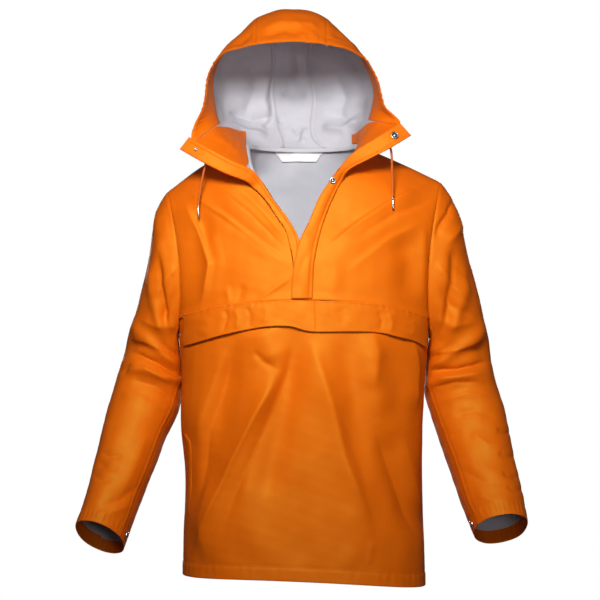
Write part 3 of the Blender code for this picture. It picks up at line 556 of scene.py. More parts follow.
def softFolds(table, a, b):
    # large soft folds: two ends, half width and height, all in metres
    total = np.zeros_like(a)
    for startA, startB, endA, endB, halfWidth, height in table:
        runA, runB = endA - startA, endB - startB
        length = math.hypot(runA, runB)
        position = ((a - startA) * runA + (b - startB) * runB) / length**2
        distance = ((a - startA) * runB - (b - startB) * runA) / length
        ends = ease(*foldShape["starts"], position) * (1 - ease(*foldShape["ends"], position))
        total += height * ends * bell(distance, 0, halfWidth)
    return total


rippleSizes = {
    "body": 0.0005,
    "sleeve": 0.0006,
    "hood": 0.0005,
    "strip": 0.0003,
    "flap": 0.0004,
    "facing": 0.00015,
}


def ripple(points, size, scale=1.0):
    # slow soft waves that keep plain cloth from looking machined
    x, y, z = points[..., 0] * scale, points[..., 1] * scale, points[..., 2] * scale
    waves = np.sin(x * 61 + z * 23 + 1.3) * np.sin(z * 47 - y * 31 + 0.4)
    waves += 0.6 * np.sin(x * 97 - z * 71 + 2.1) * np.sin(y * 83 + z * 39)
    waves += 0.35 * np.sin(x * 171 + z * 133 + 0.7) * np.sin(z * 151 - x * 67 + y * 90)
    return waves * size


# The largest folds, as in the solids: start x and z, end x and z, half width, height.
largeFolds = {
    "front": [
        (-0.030, -0.360, -0.135, -0.690, 0.026, 0.013),
        (-0.008, -0.330, -0.080, -0.640, 0.026, -0.011),
        (0.010, -0.340, 0.020, -0.740, 0.036, 0.006),
        (0.030, -0.350, 0.120, -0.720, 0.028, 0.008),
        (0.075, -0.330, 0.095, -0.560, 0.026, -0.006),
        (0.112, -0.340, 0.134, -0.480, 0.026, 0.007),
        (0.145, -0.500, 0.205, -0.680, 0.026, -0.008),
        (-0.120, -0.350, -0.185, -0.640, 0.030, -0.008),
        (-0.180, -0.420, -0.150, -0.740, 0.026, 0.006),
        (-0.180, -0.110, -0.185, -0.270, 0.022, -0.007),
        (-0.150, -0.085, -0.040, -0.190, 0.020, 0.004),
        (0.190, -0.090, 0.045, -0.200, 0.020, 0.004),
        (0.170, -0.150, 0.200, -0.280, 0.024, -0.006),
    ],
    "back": [
        (-0.090, -0.300, -0.150, -0.700, 0.030, 0.009),
        (-0.020, -0.280, -0.040, -0.720, 0.030, -0.008),
        (0.060, -0.320, 0.110, -0.730, 0.030, 0.009),
        (0.170, -0.260, 0.150, -0.600, 0.028, -0.007),
        (-0.180, -0.180, -0.080, -0.330, 0.026, -0.006),
        (0.180, -0.170, 0.070, -0.300, 0.026, 0.006),
    ],
    # by angle round the sleeve and ring number
    "sleeve": [
        (20, 3.6, 150, 3.9, 0.014, 0.007),
        (10, 4.5, 160, 3.2, 0.013, -0.008),
        (40, 5.0, 175, 4.6, 0.014, 0.007),
        (60, 1.4, 120, 2.4, 0.016, -0.006),
        (40, 2.2, 110, 2.9, 0.014, 0.005),
        (200, 3.4, 300, 4.2, 0.018, -0.006),
        (210, 4.8, 320, 5.1, 0.018, 0.005),
        (320, 1.6, 240, 2.8, 0.018, -0.006),
        (30, 8.6, 120, 8.0, 0.015, -0.003),
    ],
    "unrolledRadius": 0.07,
    "ringSpacing": 0.05,
    "sleeveStarts": (0.3, 1.3),
    "sleeveEnds": (8.6, 9.6),
    "innerDegrees": 185,
    "innerHalfWidth": 28,
    "innerFade": 0.8,
}

creases = {
    # path height wideLeft wideRight crisp
    "front": [
        # lower front
        ([(262, 326), (268, 346), (274, 364)], 3.2, 17, 13, 0.1),
        ([(252, 350), (264, 362), (282, 374)], -2.6, 3, 4, 0.7),
        ([(281, 371), (257, 414), (233, 462), (213, 512), (194, 556)], 8.0, 17, 6, 0.75),
        ([(297, 333), (287, 372), (266, 424), (238, 490), (222, 540)], -5.5, 6, 13, 0.45),
        ([(307, 334), (322, 372), (334, 412), (345, 460), (369, 520)], 5.0, 26, 7, 0.7),
        ([(336, 396), (350, 432), (364, 480), (380, 545)], -2.6, 8, 24, 0.1),
        ([(371, 326), (377, 352), (372, 392)], 2.8, 20, 6, 0.4),
        ([(396, 346), (398, 385), (392, 430)], -2.0, 12, 12, 0.1),
        ([(413, 338), (417, 366), (416, 412)], 3.4, 10, 4, 0.6),
        ([(374, 424), (396, 480), (420, 545)], -4.2, 10, 12, 0.5),
        ([(404, 436), (416, 480), (425, 520)], 2.4, 8, 5, 0.4),
        ([(237, 338), (224, 380), (208, 430), (201, 505)], -4.5, 5, 15, 0.4),
        ([(226, 346), (208, 400), (196, 446)], 3.0, 9, 5, 0.4),
        ([(212, 474), (203, 520), (206, 566)], 2.5, 8, 10, 0.3),
        ([(262, 480), (256, 530), (258, 566)], 2.0, 14, 14, 0.0),
        ([(306, 470), (300, 530), (302, 570)], -1.6, 14, 14, 0.0),
        ([(346, 500), (352, 540), (350, 574)], 2.0, 12, 10, 0.1),
        ([(371, 540), (368, 566)], 1.0, 3, 5, 0.6),
        # chest
        ([(186, 190), (222, 214), (258, 242), (291, 267)], 3.0, 10, 2.4, 0.9),
        ([(206, 208), (240, 230), (284, 262)], -2.2, 4, 9, 0.5),
        ([(214, 186), (248, 212), (287, 251)], 2.2, 9, 2.4, 0.85),
        ([(236, 186), (262, 210), (287, 240)], -1.6, 3, 6, 0.6),
        ([(184, 202), (197, 228), (209, 264), (205, 290), (199, 312)], 5.0, 12, 4, 0.7),
        ([(220, 226), (226, 262), (216, 300)], -1.6, 6, 16, 0.1),
        ([(292, 276), (276, 288), (258, 300)], 2.0, 6, 2.6, 0.8),
        ([(226, 286), (230, 304)], 1.4, 4, 3, 0.5),
        ([(242, 284), (238, 303)], -1.2, 3, 5, 0.4),
        ([(432, 183), (392, 200), (356, 224), (324, 249)], 3.0, 2.4, 10, 0.9),
        ([(434, 200), (396, 213), (350, 242)], -2.2, 9, 4, 0.5),
        ([(424, 222), (390, 238), (346, 272)], 1.4, 3, 9, 0.6),
        ([(406, 232), (410, 264), (400, 302)], -2.0, 16, 10, 0.1),
        ([(424, 222), (427, 262), (422, 306)], 2.5, 6, 6, 0.2),
        ([(330, 252), (334, 276), (330, 300)], 1.4, 5, 8, 0.1),
    ],
    "back": [
        ([(205, 205), (260, 225), (300, 262)], 2.4, 9, 8, 0.2),
        ([(410, 200), (350, 232), (316, 270)], 2.4, 9, 8, 0.2),
        ([(196, 230), (202, 275), (215, 330)], -3.0, 8, 10, 0.2),
        ([(416, 232), (410, 285), (398, 340)], -3.0, 10, 8, 0.2),
        ([(262, 330), (240, 400), (232, 470)], 4.0, 10, 7, 0.4),
        ([(300, 300), (306, 380), (296, 470)], -3.0, 12, 12, 0.1),
        ([(352, 330), (374, 410), (386, 500)], 4.0, 8, 12, 0.4),
        ([(330, 420), (338, 480), (332, 560)], 2.5, 12, 12, 0.1),
        ([(210, 420), (200, 480), (206, 560)], 3.0, 9, 9, 0.2),
        ([(410, 420), (414, 490), (404, 566)], 3.0, 9, 9, 0.2),
        ([(268, 480), (262, 530), (266, 570)], 2.0, 9, 9, 0.1),
    ],
    "sleeveLeft": [
        # upper arm
        ([(168, 205), (176, 232), (184, 256)], -3.8, 4.2, 4.2, 0.60),
        ([(184, 262), (168, 276), (152, 300)], 3.8, 6.0, 5.1, 0.60),
        ([(186, 282), (172, 300), (160, 322)], -3.8, 5.1, 5.1, 0.50),
        ([(160, 236), (156, 262), (148, 288)], 3.0, 5.1, 5.1, 0.40),
        ([(138, 318), (156, 326), (180, 326)], 4.5, 6.0, 6.0, 0.50),
        # elbow
        ([(124, 350), (140, 356), (158, 364), (184, 379)], -8.2, 3.4, 4.2, 0.75),
        ([(128, 338), (148, 343), (176, 356)], 6.0, 5.1, 5.1, 0.50),
        ([(126, 364), (146, 368), (170, 384)], 5.2, 5.1, 3.4, 0.60),
        ([(120, 376), (130, 366), (148, 366)], -4.5, 3.4, 3.4, 0.60),
        ([(132, 380), (156, 386), (178, 404)], -3.8, 5.1, 4.2, 0.50),
        ([(118, 392), (140, 398), (162, 412)], 2.7, 6.8, 5.1, 0.50),
        # forearm
        ([(100, 452), (110, 456), (124, 456)], -2.4, 2.5, 2.5, 0.70),
        ([(96, 462), (108, 468), (120, 470)], -3.0, 2.5, 2.5, 0.70),
        ([(92, 474), (102, 480), (114, 480)], -2.7, 2.5, 2.5, 0.70),
        ([(148, 430), (136, 462), (122, 494)], 3.0, 7.6, 6.8, 0.40),
        ([(138, 486), (120, 500), (98, 508)], -2.7, 4.2, 4.2, 0.50),
        ([(132, 504), (112, 512), (90, 518)], 2.4, 4.2, 4.2, 0.50),
    ],
    "sleeveRight": [
        ([(454, 198), (448, 214), (438, 227), (434, 240)], -7.5, 3.4, 4.2, 0.80),
        ([(466, 206), (462, 226), (446, 246)], 4.5, 6.0, 5.1, 0.50),
        ([(436, 262), (450, 282), (466, 300)], 3.8, 6.0, 5.1, 0.60),
        ([(438, 286), (452, 306), (474, 318)], -3.8, 5.1, 5.1, 0.50),
        ([(448, 250), (462, 272), (476, 288)], -3.0, 5.1, 5.1, 0.40),
        ([(434, 318), (452, 326), (478, 322)], 3.0, 5.1, 5.1, 0.50),
        # elbow
        ([(430, 354), (456, 350), (484, 340)], 7.5, 5.1, 6.0, 0.50),
        ([(430, 370), (456, 370), (474, 366), (492, 360)], -9.8, 3.4, 3.4, 0.75),
        ([(434, 378), (458, 376), (486, 372)], 3.9, 3.4, 3.4, 0.50),
        ([(432, 388), (456, 382), (480, 382)], -4.5, 3.4, 3.4, 0.60),
        ([(440, 402), (466, 394), (494, 396)], 3.0, 5.1, 4.2, 0.50),
        ([(452, 416), (474, 410), (500, 418)], -2.4, 4.2, 4.2, 0.50),
        # forearm
        ([(496, 430), (504, 432), (512, 434)], -3.9, 2.5, 2.5, 0.70),
        ([(498, 452), (506, 456), (516, 458)], -3.6, 2.5, 2.5, 0.70),
        ([(502, 472), (510, 476), (521, 478)], -3.9, 2.5, 2.5, 0.70),
        ([(506, 486), (514, 490), (526, 490)], -3.0, 2.5, 2.5, 0.70),
        ([(470, 432), (488, 444), (508, 446)], 2.4, 5.1, 4.2, 0.50),
        ([(462, 470), (484, 482), (508, 484)], -2.2, 5.1, 4.2, 0.50),
        ([(474, 494), (492, 500), (516, 502)], 2.1, 4.2, 4.2, 0.50),
    ],
    "hoodOutside": [
        ([(256, 22), (254, 32), (251, 42)], -1.6, 2.5, 3, 0.6),
        ([(258, 30), (280, 24), (310, 25), (322, 31)], 2.2, 3, 6, 0.5),
        ([(262, 36), (284, 30), (300, 33)], -1.8, 3, 3, 0.5),
        ([(290, 22), (304, 30), (320, 27)], 1.6, 3, 5, 0.4),
        ([(296, 37), (309, 33), (320, 38)], 1.5, 3, 3, 0.5),
        ([(272, 16), (300, 15), (326, 19)], 1.4, 5, 6, 0.3),
        ([(236, 46), (246, 37), (254, 33)], -2.0, 3, 4, 0.4),
        ([(330, 32), (348, 38), (366, 58)], -2.0, 4, 3, 0.4),
        ([(340, 26), (352, 40), (362, 50)], 1.8, 4, 5, 0.4),
        ([(212, 76), (206, 100), (204, 122)], 1.8, 4, 4, 0.3),
        ([(384, 90), (390, 112), (402, 124)], 1.8, 4, 4, 0.3),
    ],
    "hoodInside": [
        ([(250, 60), (256, 90), (244, 118)], 4.8, 8.0, 8.0, 0.40),
        ([(268, 70), (262, 100), (270, 128)], -6.0, 7.2, 5.6, 0.50),
        ([(296, 44), (300, 70), (296, 92)], -4.8, 6.4, 6.4, 0.30),
        ([(280, 92), (294, 97), (308, 94)], 6.0, 4.8, 4.8, 0.50),
        ([(228, 112), (252, 120), (276, 116)], 5.8, 5.6, 5.6, 0.50),
        ([(222, 124), (244, 134), (268, 136)], -7.2, 4.8, 4.8, 0.50),
        ([(262, 128), (276, 120), (286, 122)], 4.8, 4.0, 4.0, 0.50),
        ([(334, 72), (344, 98), (336, 124)], 4.8, 8.0, 8.0, 0.40),
        ([(324, 112), (346, 118), (368, 104)], 5.3, 5.6, 5.6, 0.50),
        ([(322, 128), (344, 130), (364, 118)], -6.2, 4.8, 4.8, 0.50),
        ([(292, 126), (300, 136), (296, 144)], 3.8, 3.2, 3.2, 0.60),
        ([(308, 128), (302, 138), (306, 144)], -3.8, 3.2, 3.2, 0.60),
    ],
    "flap": [
        ([(224, 308), (227, 318), (222, 332)], -2.4, 3.2, 3.2, 0.60),
        ([(234, 308), (238, 318), (236, 330)], 2.4, 4.0, 4.0, 0.50),
        ([(246, 306), (250, 316), (248, 328)], -2.2, 3.2, 3.2, 0.60),
        ([(264, 302), (266, 314), (262, 326)], 1.5, 4.8, 4.8, 0.40),
        ([(378, 310), (382, 320), (380, 332)], -2.0, 3.2, 3.2, 0.60),
        ([(388, 312), (392, 322), (390, 334)], 2.0, 4.0, 4.0, 0.50),
        ([(340, 306), (344, 316), (341, 328)], -1.3, 4.8, 4.8, 0.40),
        ([(204, 314), (208, 326), (202, 338)], 2.2, 7.2, 7.2, 0.30),
        ([(412, 318), (414, 328), (410, 338)], 1.5, 4.8, 4.8, 0.40),
    ],
}

# How much of each table's height is used.
creaseGains = {"front": 1.7, "back": 2.2, "hoodOutside": 2.2, "hoodInside": 1.6}

cloth = {
    "wall": 0.0014,
    "seamDip": 0.0011,
    "seamWidth": 0.0030,
    "hemDepth": 0.024,
    "hemRise": 0.0007,
    "hemPuckers": (0.016, 0.0005, 0.017),
    "chestSeamRise": 0.0024,
    "chestSeamWidth": 0.016,
    "cuffDepth": 0.026,
    "cuffPuckers": (0.014, 0.0006, 0.014),
    "brimDepth": 0.019,
    "brimInside": 0.008,
    "brimPuckers": (0.007, 0.0011, 0.0105),
    "brimStartsZ": (0.055, 0.075),
    "stitchGroove": 0.0006,
    "brimGroove": 0.0009,
    "grooveWidth": 0.003,
    "puckerReach": 0.009,
}


def seamDips(distances, borders):
    total = 0
    for border in borders:
        total = total - cloth["seamDip"] * bell(distances[border], 0, cloth["seamWidth"])
    return total


def puckers(distance, along, depth, spacing):
    # short uneven gathers square to a border, which die out away from it
    wave = np.sin(along / spacing * 2 * math.pi) * (0.6 + 0.4 * np.sin(along / spacing * 1.7 + 1.0))
    return depth * wave * bell(distance, 0, cloth["puckerReach"])


def asSurface(points, sign, closed=False):
    # A grid of points with its normals and how far each point is from its borders. The sign turns the
    # normals out.
    points = np.array(points, float)
    return {
        "points": points,
        "normals": gridNormals(points, closed, sign),
        "closed": closed,
        "sign": sign,
        "distances": borderDistances(points, closed),
    }


def makeSurface(name, perAcross, perAlong, closed, sign):
    return asSurface(refine(coarse[name], perAcross, perAlong, closed), sign, closed)


def raiseSurface(surface, heights):
    surface["points"] = surface["points"] + surface["normals"] * heights[..., None]
    surface["normals"] = gridNormals(surface["points"], surface["closed"], surface["sign"])
    return surface


def shapeBody(name, perAcross, perAlong, sign, seams):
    # a body panel with its folds, which die out towards its seams over the reach given for each
    surface = makeSurface(name, perAcross, perAlong, False, sign)
    points, distances = surface["points"], surface["distances"]
    x, y = toPixels(points)
    where = "back" if name == "back" else "front"
    heights = softFolds(largeFolds[where], points[..., 0], points[..., 2])
    if name != "front_whole":
        heights += creaseGains[where] * creaseHeights(creases[where], x, y)
        heights += ripple(points, rippleSizes["body"])
    for border, reach in seams.items():
        heights = heights * ease(0.0, reach, distances[border])
    low = distances["low"]
    if name in ("front_lower", "back"):
        hem = cloth["hemDepth"]
        middle, depth, spacing = cloth["hemPuckers"]
        heights = heights + cloth["hemRise"] * (1 - ease(hem - 0.003, hem + 0.002, low))
        heights = heights - cloth["stitchGroove"] * bell(low, hem, cloth["grooveWidth"])
        heights = heights + puckers(np.abs(low - middle), distances["first"], depth, spacing)
    if "upper" in name:
        heights = heights + cloth["chestSeamRise"] * (1 - ease(0.0, cloth["chestSeamWidth"], low))
    sewn = [border for border in seams if seams[border] > 0.01]
    return raiseSurface(surface, heights + seamDips(distances, sewn))


# The felled seam along the inside of the arm, where the arm rests on the body in the front view, and how far
# the folds of the hidden side are moved and lowered from the ones in front.
sleeveSeam = {"degrees": 152.0, "halfWidth": 0.0028, "rise": 0.0007, "groove": 0.0058, "grooveWidth": 0.0018}
armRest = {"height": 0.0048, "y": 352, "halfWidth": 21}
hiddenFolds = {"shiftX": 9, "shiftY": 7, "share": 0.7}
roundSleeve = {"perAcross": 7, "perAlong": 10, "cuffRound": 0.42, "armRound": 0.40}


def shapeSleeve(side):
    mirror = 1 if side == "left" else -1
    perAcross, perAlong = roundSleeve["perAcross"], roundSleeve["perAlong"]
    surface = makeSurface("sleeve_" + side, perAcross, perAlong, True, float(-mirror))
    points, normals, distances = surface["points"], surface["normals"], surface["distances"]
    coarseDegrees = sleeveDegrees() + [360.0]
    places = np.arange(points.shape[0]) / perAcross
    fine = np.interp(places, np.arange(len(coarseDegrees)), coarseDegrees)
    rings = np.linspace(0, len(sleeves[side]) - 1, points.shape[1])
    degrees, ring = np.meshgrid(fine, rings, indexing="ij")
    radius, spacing = largeFolds["unrolledRadius"], largeFolds["ringSpacing"]
    table = []
    for startDegrees, startRing, endDegrees, endRing, halfWidth, height in largeFolds["sleeve"]:
        start = (math.radians(startDegrees) * radius, startRing * spacing)
        end = (math.radians(endDegrees) * radius, endRing * spacing)
        table.append((*start, *end, halfWidth, height))
    large = softFolds(table, np.radians(degrees) * radius, ring * spacing)
    nearBody = bell(degrees, largeFolds["innerDegrees"], largeFolds["innerHalfWidth"])
    ends = ease(*largeFolds["sleeveStarts"], ring) * (1 - ease(*largeFolds["sleeveEnds"], ring))
    large *= ends * (1 - largeFolds["innerFade"] * nearBody)
    x, y = toPixels(points)
    named = creases["sleeveLeft" if side == "left" else "sleeveRight"]
    seen = ease(-0.25, 0.35, -normals[..., 1])
    hidden = ease(-0.05, 0.5, normals[..., 1]) * hiddenFolds["share"]
    shifted = creaseHeights(named, x + mirror * hiddenFolds["shiftX"], y - hiddenFolds["shiftY"])
    heights = large + creaseHeights(named, x, y) * seen + shifted * hidden
    inner = ease(0.3, 0.9, mirror * normals[..., 0])
    heights += armRest["height"] * bell(y, armRest["y"], armRest["halfWidth"]) * inner
    heights += ripple(points, rippleSizes["sleeve"])
    heights *= ease(0.0, 0.020, distances["low"])
    high = distances["high"]
    around = np.repeat((fine / 360 * roundSleeve["cuffRound"])[:, None], points.shape[1], axis=1)
    middle, depth, spacing = cloth["cuffPuckers"]
    heights += puckers(np.abs(high - middle), around, depth, spacing)
    heights -= cloth["stitchGroove"] * bell(high, cloth["cuffDepth"], cloth["grooveWidth"])
    heights += seamDips(distances, ["low"])
    away = np.abs(degrees - sleeveSeam["degrees"]) / 360 * roundSleeve["armRound"]
    heights += sleeveSeam["rise"] * (1 - ease(sleeveSeam["halfWidth"], 0.0055, away))
    heights -= cloth["stitchGroove"] * bell(away, sleeveSeam["groove"], sleeveSeam["grooveWidth"])
    surface["degrees"] = fine
    return raiseSurface(surface, heights)


def shapeHood(name, perAcross, perAlong, sign, seams):
    surface = makeSurface(name, perAcross, perAlong, False, sign)
    points, distances = surface["points"], surface["distances"]
    x, y = toPixels(points)
    towards = -surface["normals"][..., 1]
    outside = creaseGains["hoodOutside"] * creaseHeights(creases["hoodOutside"], x, y)
    inside = creaseGains["hoodInside"] * creaseHeights(creases["hoodInside"], x, y)
    heights = outside * ease(0.0, 0.2, towards)
    heights += inside * ease(0.0, 0.2, -towards) * ease(-0.03, 0.02, points[..., 2])
    heights += ripple(points, rippleSizes["hood"], 1.3)
    for border in seams:
        heights = heights * ease(0.0, 0.015, distances[border])
    brim = distances["first"]
    aboveCollar = ease(*cloth["brimStartsZ"], points[..., 2])
    middle, depth, spacing = cloth["brimPuckers"]
    heights += aboveCollar * puckers(np.abs(brim - middle), lengthsAlong(points), depth, spacing)
    heights -= aboveCollar * cloth["brimGroove"] * bell(brim, cloth["brimDepth"], cloth["grooveWidth"])
    heights += seamDips(distances, seams)
    return raiseSurface(surface, heights)


sides = {"first": 0.03, "last": 0.03}
upper = {"last": 0.022, "high": 0.02, "first": 0.004}
surfaces = {
    "front_lower": shapeBody("front_lower", 8, 8, 1.0, {**sides, "high": 0.004}),
    "front_upper_left": shapeBody("front_upper_left", 8, 10, -1.0, upper),
    "front_upper_right": shapeBody("front_upper_right", 8, 10, 1.0, upper),
    "back": shapeBody("back", 5, 7, -1.0, {**sides, "high": 0.02}),
    "front_whole": shapeBody("front_whole", 6, 6, 1.0, sides),
    "hood_left": shapeHood("hood_left", 12, 7, -1.0, ["last", "high"]),
    "hood_right": shapeHood("hood_right", 12, 7, 1.0, ["last", "high"]),
    "hood_centre": shapeHood("hood_centre", 6, 9, -1.0, ["low", "high", "last"]),
    "sleeve_left": shapeSleeve("left"),
    "sleeve_right": shapeSleeve("right"),
}
print("stage: folds and creases")


# Materials.


def newGroup(name, inputs, outputs):
    group = bpy.data.node_groups.new(name, "ShaderNodeTree")
    for title, kind, value in inputs:
        socket = group.interface.new_socket(title, in_out="INPUT", socket_type=kind)
        socket.default_value = value
    for title, kind in outputs:
        group.interface.new_socket(title, in_out="OUTPUT", socket_type=kind)
    return group, group.nodes.new("NodeGroupInput"), group.nodes.new("NodeGroupOutput")


def newNode(tree, kind, **values):
    # a node with these inputs, each a number, a colour or another node's output
    node = tree.nodes.new(kind)
    for title, value in values.items():
        feed(tree, node.inputs[title.replace("_", " ")], value)
    return node


def feed(tree, socket, value):
    if isinstance(value, bpy.types.NodeSocket):
        tree.links.new(value, socket)
    else:
        socket.default_value = value


def mathNode(tree, operation, first, second):
    node = tree.nodes.new("ShaderNodeMath")
    node.operation = operation
    feed(tree, node.inputs[0], first)
    feed(tree, node.inputs[1], second)
    return node.outputs[0]


def noiseNode(tree, scale, detail, roughness=0.5, distortion=0.0):
    place = tree.nodes.new("ShaderNodeTexCoord")
    scaled = newNode(tree, "ShaderNodeVectorMath")
    scaled.operation = "SCALE"
    feed(tree, scaled.inputs[0], place.outputs["Object"])
    feed(tree, scaled.inputs["Scale"], scale)
    looks = {"Scale": 1.0, "Detail": detail, "Roughness": roughness, "Distortion": distortion}
    return newNode(tree, "ShaderNodeTexNoise", Vector=scaled.outputs[0], **looks)


def grainGroup():
    # fine grain, soft mottling and small handling creases of a cloth face
    inputs = [
        ("Grain Scale", "NodeSocketFloat", 900.0),
        ("Mottle Scale", "NodeSocketFloat", 26.0),
        ("Grain", "NodeSocketFloat", 0.5),
        ("Handling", "NodeSocketFloat", 0.5),
    ]
    outputs = [("Height", "NodeSocketFloat"), ("Mottle", "NodeSocketFloat")]
    group, given, out = newGroup("clothFace", inputs, outputs)
    grain = noiseNode(group, given.outputs["Grain Scale"], 2.0)
    mottle = noiseNode(group, given.outputs["Mottle Scale"], 4.0, 0.55, 0.6)
    handling = noiseNode(group, 95.0, 3.0, 0.5, 1.2)
    ridge = mathNode(group, "ABSOLUTE", mathNode(group, "SUBTRACT", handling.outputs["Fac"], 0.5), 0.0)
    fine = mathNode(group, "MULTIPLY", grain.outputs["Fac"], given.outputs["Grain"])
    marks = mathNode(group, "MULTIPLY", ridge, given.outputs["Handling"])
    group.links.new(mathNode(group, "ADD", fine, marks), out.inputs["Height"])
    group.links.new(mottle.outputs["Fac"], out.inputs["Mottle"])
    return group


def plainMaterial(name, values):
    made = bpy.data.materials.new(name)
    made.use_nodes = True
    shader = made.node_tree.nodes["Principled BSDF"]
    for socket, value in values.items():
        shader.inputs[socket].default_value = value
    return made, made.node_tree, shader


def mixColours(tree, amount, first, second):
    mix = tree.nodes.new("ShaderNodeMix")
    mix.data_type = "RGBA"
    tree.links.new(amount, mix.inputs["Factor"])
    mix.inputs["A"].default_value = (*first, 1.0)
    mix.inputs["B"].default_value = (*second, 1.0)
    return mix.outputs["Result"]


def rangeNode(tree, value, fromLow, fromHigh, toLow, toHigh):
    ranges = {"From_Min": fromLow, "From_Max": fromHigh, "To_Min": toLow, "To_Max": toHigh}
    return newNode(tree, "ShaderNodeMapRange", Value=value, **ranges).outputs["Result"]


bumpHeight = 0.0004


def addBump(tree, shader, height, strength):
    bump = newNode(tree, "ShaderNodeBump", Strength=strength, Distance=bumpHeight, Height=height)
    feed(tree, shader.inputs["Normal"], bump.outputs["Normal"])


clothFace = grainGroup()


def clothMaterial(name, look):
    values = {"Specular IOR Level": look["gloss"], "Specular Tint": (*look["glossTint"], 1.0)}
    made, tree, shader = plainMaterial(name, values)
    face = tree.nodes.new("ShaderNodeGroup")
    face.node_tree = clothFace
    for socket in ("Grain Scale", "Mottle Scale", "Grain", "Handling"):
        face.inputs[socket].default_value = look[socket]
    amount = rangeNode(tree, face.outputs["Mottle"], 0.3, 0.7, 0.0, 1.0)
    colour = mixColours(tree, amount, look["colour"], look["otherColour"])
    tree.links.new(colour, shader.inputs["Base Color"])
    low, high = look["roughness"]
    tree.links.new(rangeNode(tree, face.outputs["Mottle"], 0.25, 0.75, low, high), shader.inputs["Roughness"])
    addBump(tree, shader, face.outputs["Height"], look["bump"])
    return made


coatLook = {
    "colour": (0.69, 0.113, 0.0012),
    "otherColour": (0.65, 0.104, 0.001),
    "roughness": (0.58, 0.65),
    "gloss": 0.68,
    "glossTint": (0.35, 1.0, 0.14),
    "bump": 0.25,
    "Grain Scale": 1100.0,
    "Mottle Scale": 22.0,
    "Grain": 0.35,
    "Handling": 0.4,
}
backingLook = {
    "colour": (0.49, 0.487, 0.525),
    "otherColour": (0.44, 0.437, 0.475),
    "roughness": (0.72, 0.82),
    "gloss": 0.25,
    "glossTint": (1.0, 1.0, 1.0),
    "bump": 0.5,
    "Grain Scale": 1500.0,
    "Mottle Scale": 18.0,
    "Grain": 0.9,
    "Handling": 0.25,
}
threadLook = {
    "colour": (0.36, 0.050, 0.002),
    "otherColour": (0.27, 0.036, 0.0015),
    "roughness": (0.5, 0.6),
    "gloss": 0.5,
    "glossTint": (1.0, 0.8, 0.4),
    "bump": 0.4,
    "Grain Scale": 3000.0,
    "Mottle Scale": 300.0,
    "Grain": 0.9,
    "Handling": 0.0,
}
labelLook = {
    "colour": (0.78, 0.78, 0.79),
    "otherColour": (0.70, 0.70, 0.72),
    "roughness": (0.55, 0.65),
    "gloss": 0.4,
    "glossTint": (1.0, 1.0, 1.0),
    "bump": 0.5,
    "Grain Scale": 2200.0,
    "Mottle Scale": 60.0,
    "Grain": 0.9,
    "Handling": 0.1,
}

greyThreadLook = {
    **threadLook,
    "colour": (0.42, 0.41, 0.44),
    "otherColour": (0.34, 0.33, 0.36),
    "glossTint": (1.0, 1.0, 1.0),
}
labelEdgeLook = {**labelLook, "colour": (0.05, 0.05, 0.055), "otherColour": (0.04, 0.04, 0.045)}
# near black: the painted shade inside a snap's hollow
recessShadeLook = {**labelLook, "colour": (0.035, 0.03, 0.03), "otherColour": (0.02, 0.02, 0.02)}

coat = clothMaterial("coated_face", coatLook)
backing = clothMaterial("grey_backing", backingLook)
thread = clothMaterial("orange_thread", threadLook)
greyThread = clothMaterial("grey_thread", greyThreadLook)
labelCloth = clothMaterial("label_satin", labelLook)
labelEdge = clothMaterial("label_edge", labelEdgeLook)

steelLook = {
    "dark": (0.56, 0.54, 0.53),
    "light": (0.70, 0.68, 0.67),
    "markScale": 700.0,
    "roughness": (0.22, 0.38),
}
# the dark colour lies where the braid is low, as painted shade between the strands
cordLook = {
    "dark": (0.30, 0.045, 0.003),
    "light": (0.66, 0.13, 0.008),
    "strands": 260.0,
    "slope": 0.6,
    "bump": 0.7,
}


def metalMaterial():
    made, tree, shader = plainMaterial("brushed_steel", {"Metallic": 1.0})
    marks = noiseNode(tree, steelLook["markScale"], 3.0).outputs["Fac"]
    feed(tree, shader.inputs["Base Color"], mixColours(tree, marks, steelLook["dark"], steelLook["light"]))
    feed(tree, shader.inputs["Roughness"], rangeNode(tree, marks, 0.3, 0.7, *steelLook["roughness"]))
    return made


def cordMaterial():
    # a braid of fine diagonal strands, darker where the braid is low: painted shade in the grooves between
    # strands
    looks = {"Specular IOR Level": 0.4, "Roughness": 0.6}
    made, tree, shader = plainMaterial("drawstring_braid", looks)
    place = tree.nodes.new("ShaderNodeTexCoord").outputs["Object"]
    waves = []
    for slope in (cordLook["slope"], -cordLook["slope"]):
        turn = newNode(tree, "ShaderNodeMapping", Vector=place, Rotation=(0.0, slope, 0.0))
        strands = {"Vector": turn.outputs["Vector"], "Scale": cordLook["strands"], "Distortion": 0.4}
        wave = newNode(tree, "ShaderNodeTexWave", **strands)
        wave.bands_direction = "Z"
        waves.append(wave.outputs["Fac"])
    braid = mathNode(tree, "MAXIMUM", waves[0], waves[1])
    feed(tree, shader.inputs["Base Color"], mixColours(tree, braid, cordLook["dark"], cordLook["light"]))
    addBump(tree, shader, braid, cordLook["bump"])
    return made


steel = metalMaterial()
# the material of the painted shade in the snaps' hollows
recessShade = clothMaterial("snap_recess_painted_shade", recessShadeLook)
braid = cordMaterial()
print("stage: materials")


# Cloth pieces.


wallShape = {"edgeInset": 0.45, "edgeTurns": (0.25, 0.5, 0.75), "edgeBulge": 0.5}


def perimeter(countU, countV):
    loop = [(i, 0) for i in range(countU)]
    loop += [(countU - 1, j) for j in range(1, countV)]
    loop += [(i, countV - 1) for i in range(countU - 2, -1, -1)]
    loop += [(0, j) for j in range(countV - 2, 0, -1)]
    return loop


def gridFaces(index, closed=False):
    # the four corners of each face of a grid of vertex numbers
    after = np.roll(index, -1, axis=0) if closed else index[1:]
    before = index if closed else index[:-1]
    corners = [before[:, :-1], after[:, :-1], after[:, 1:], before[:, 1:]]
    return np.stack(corners, axis=-1).reshape(-1, 4)


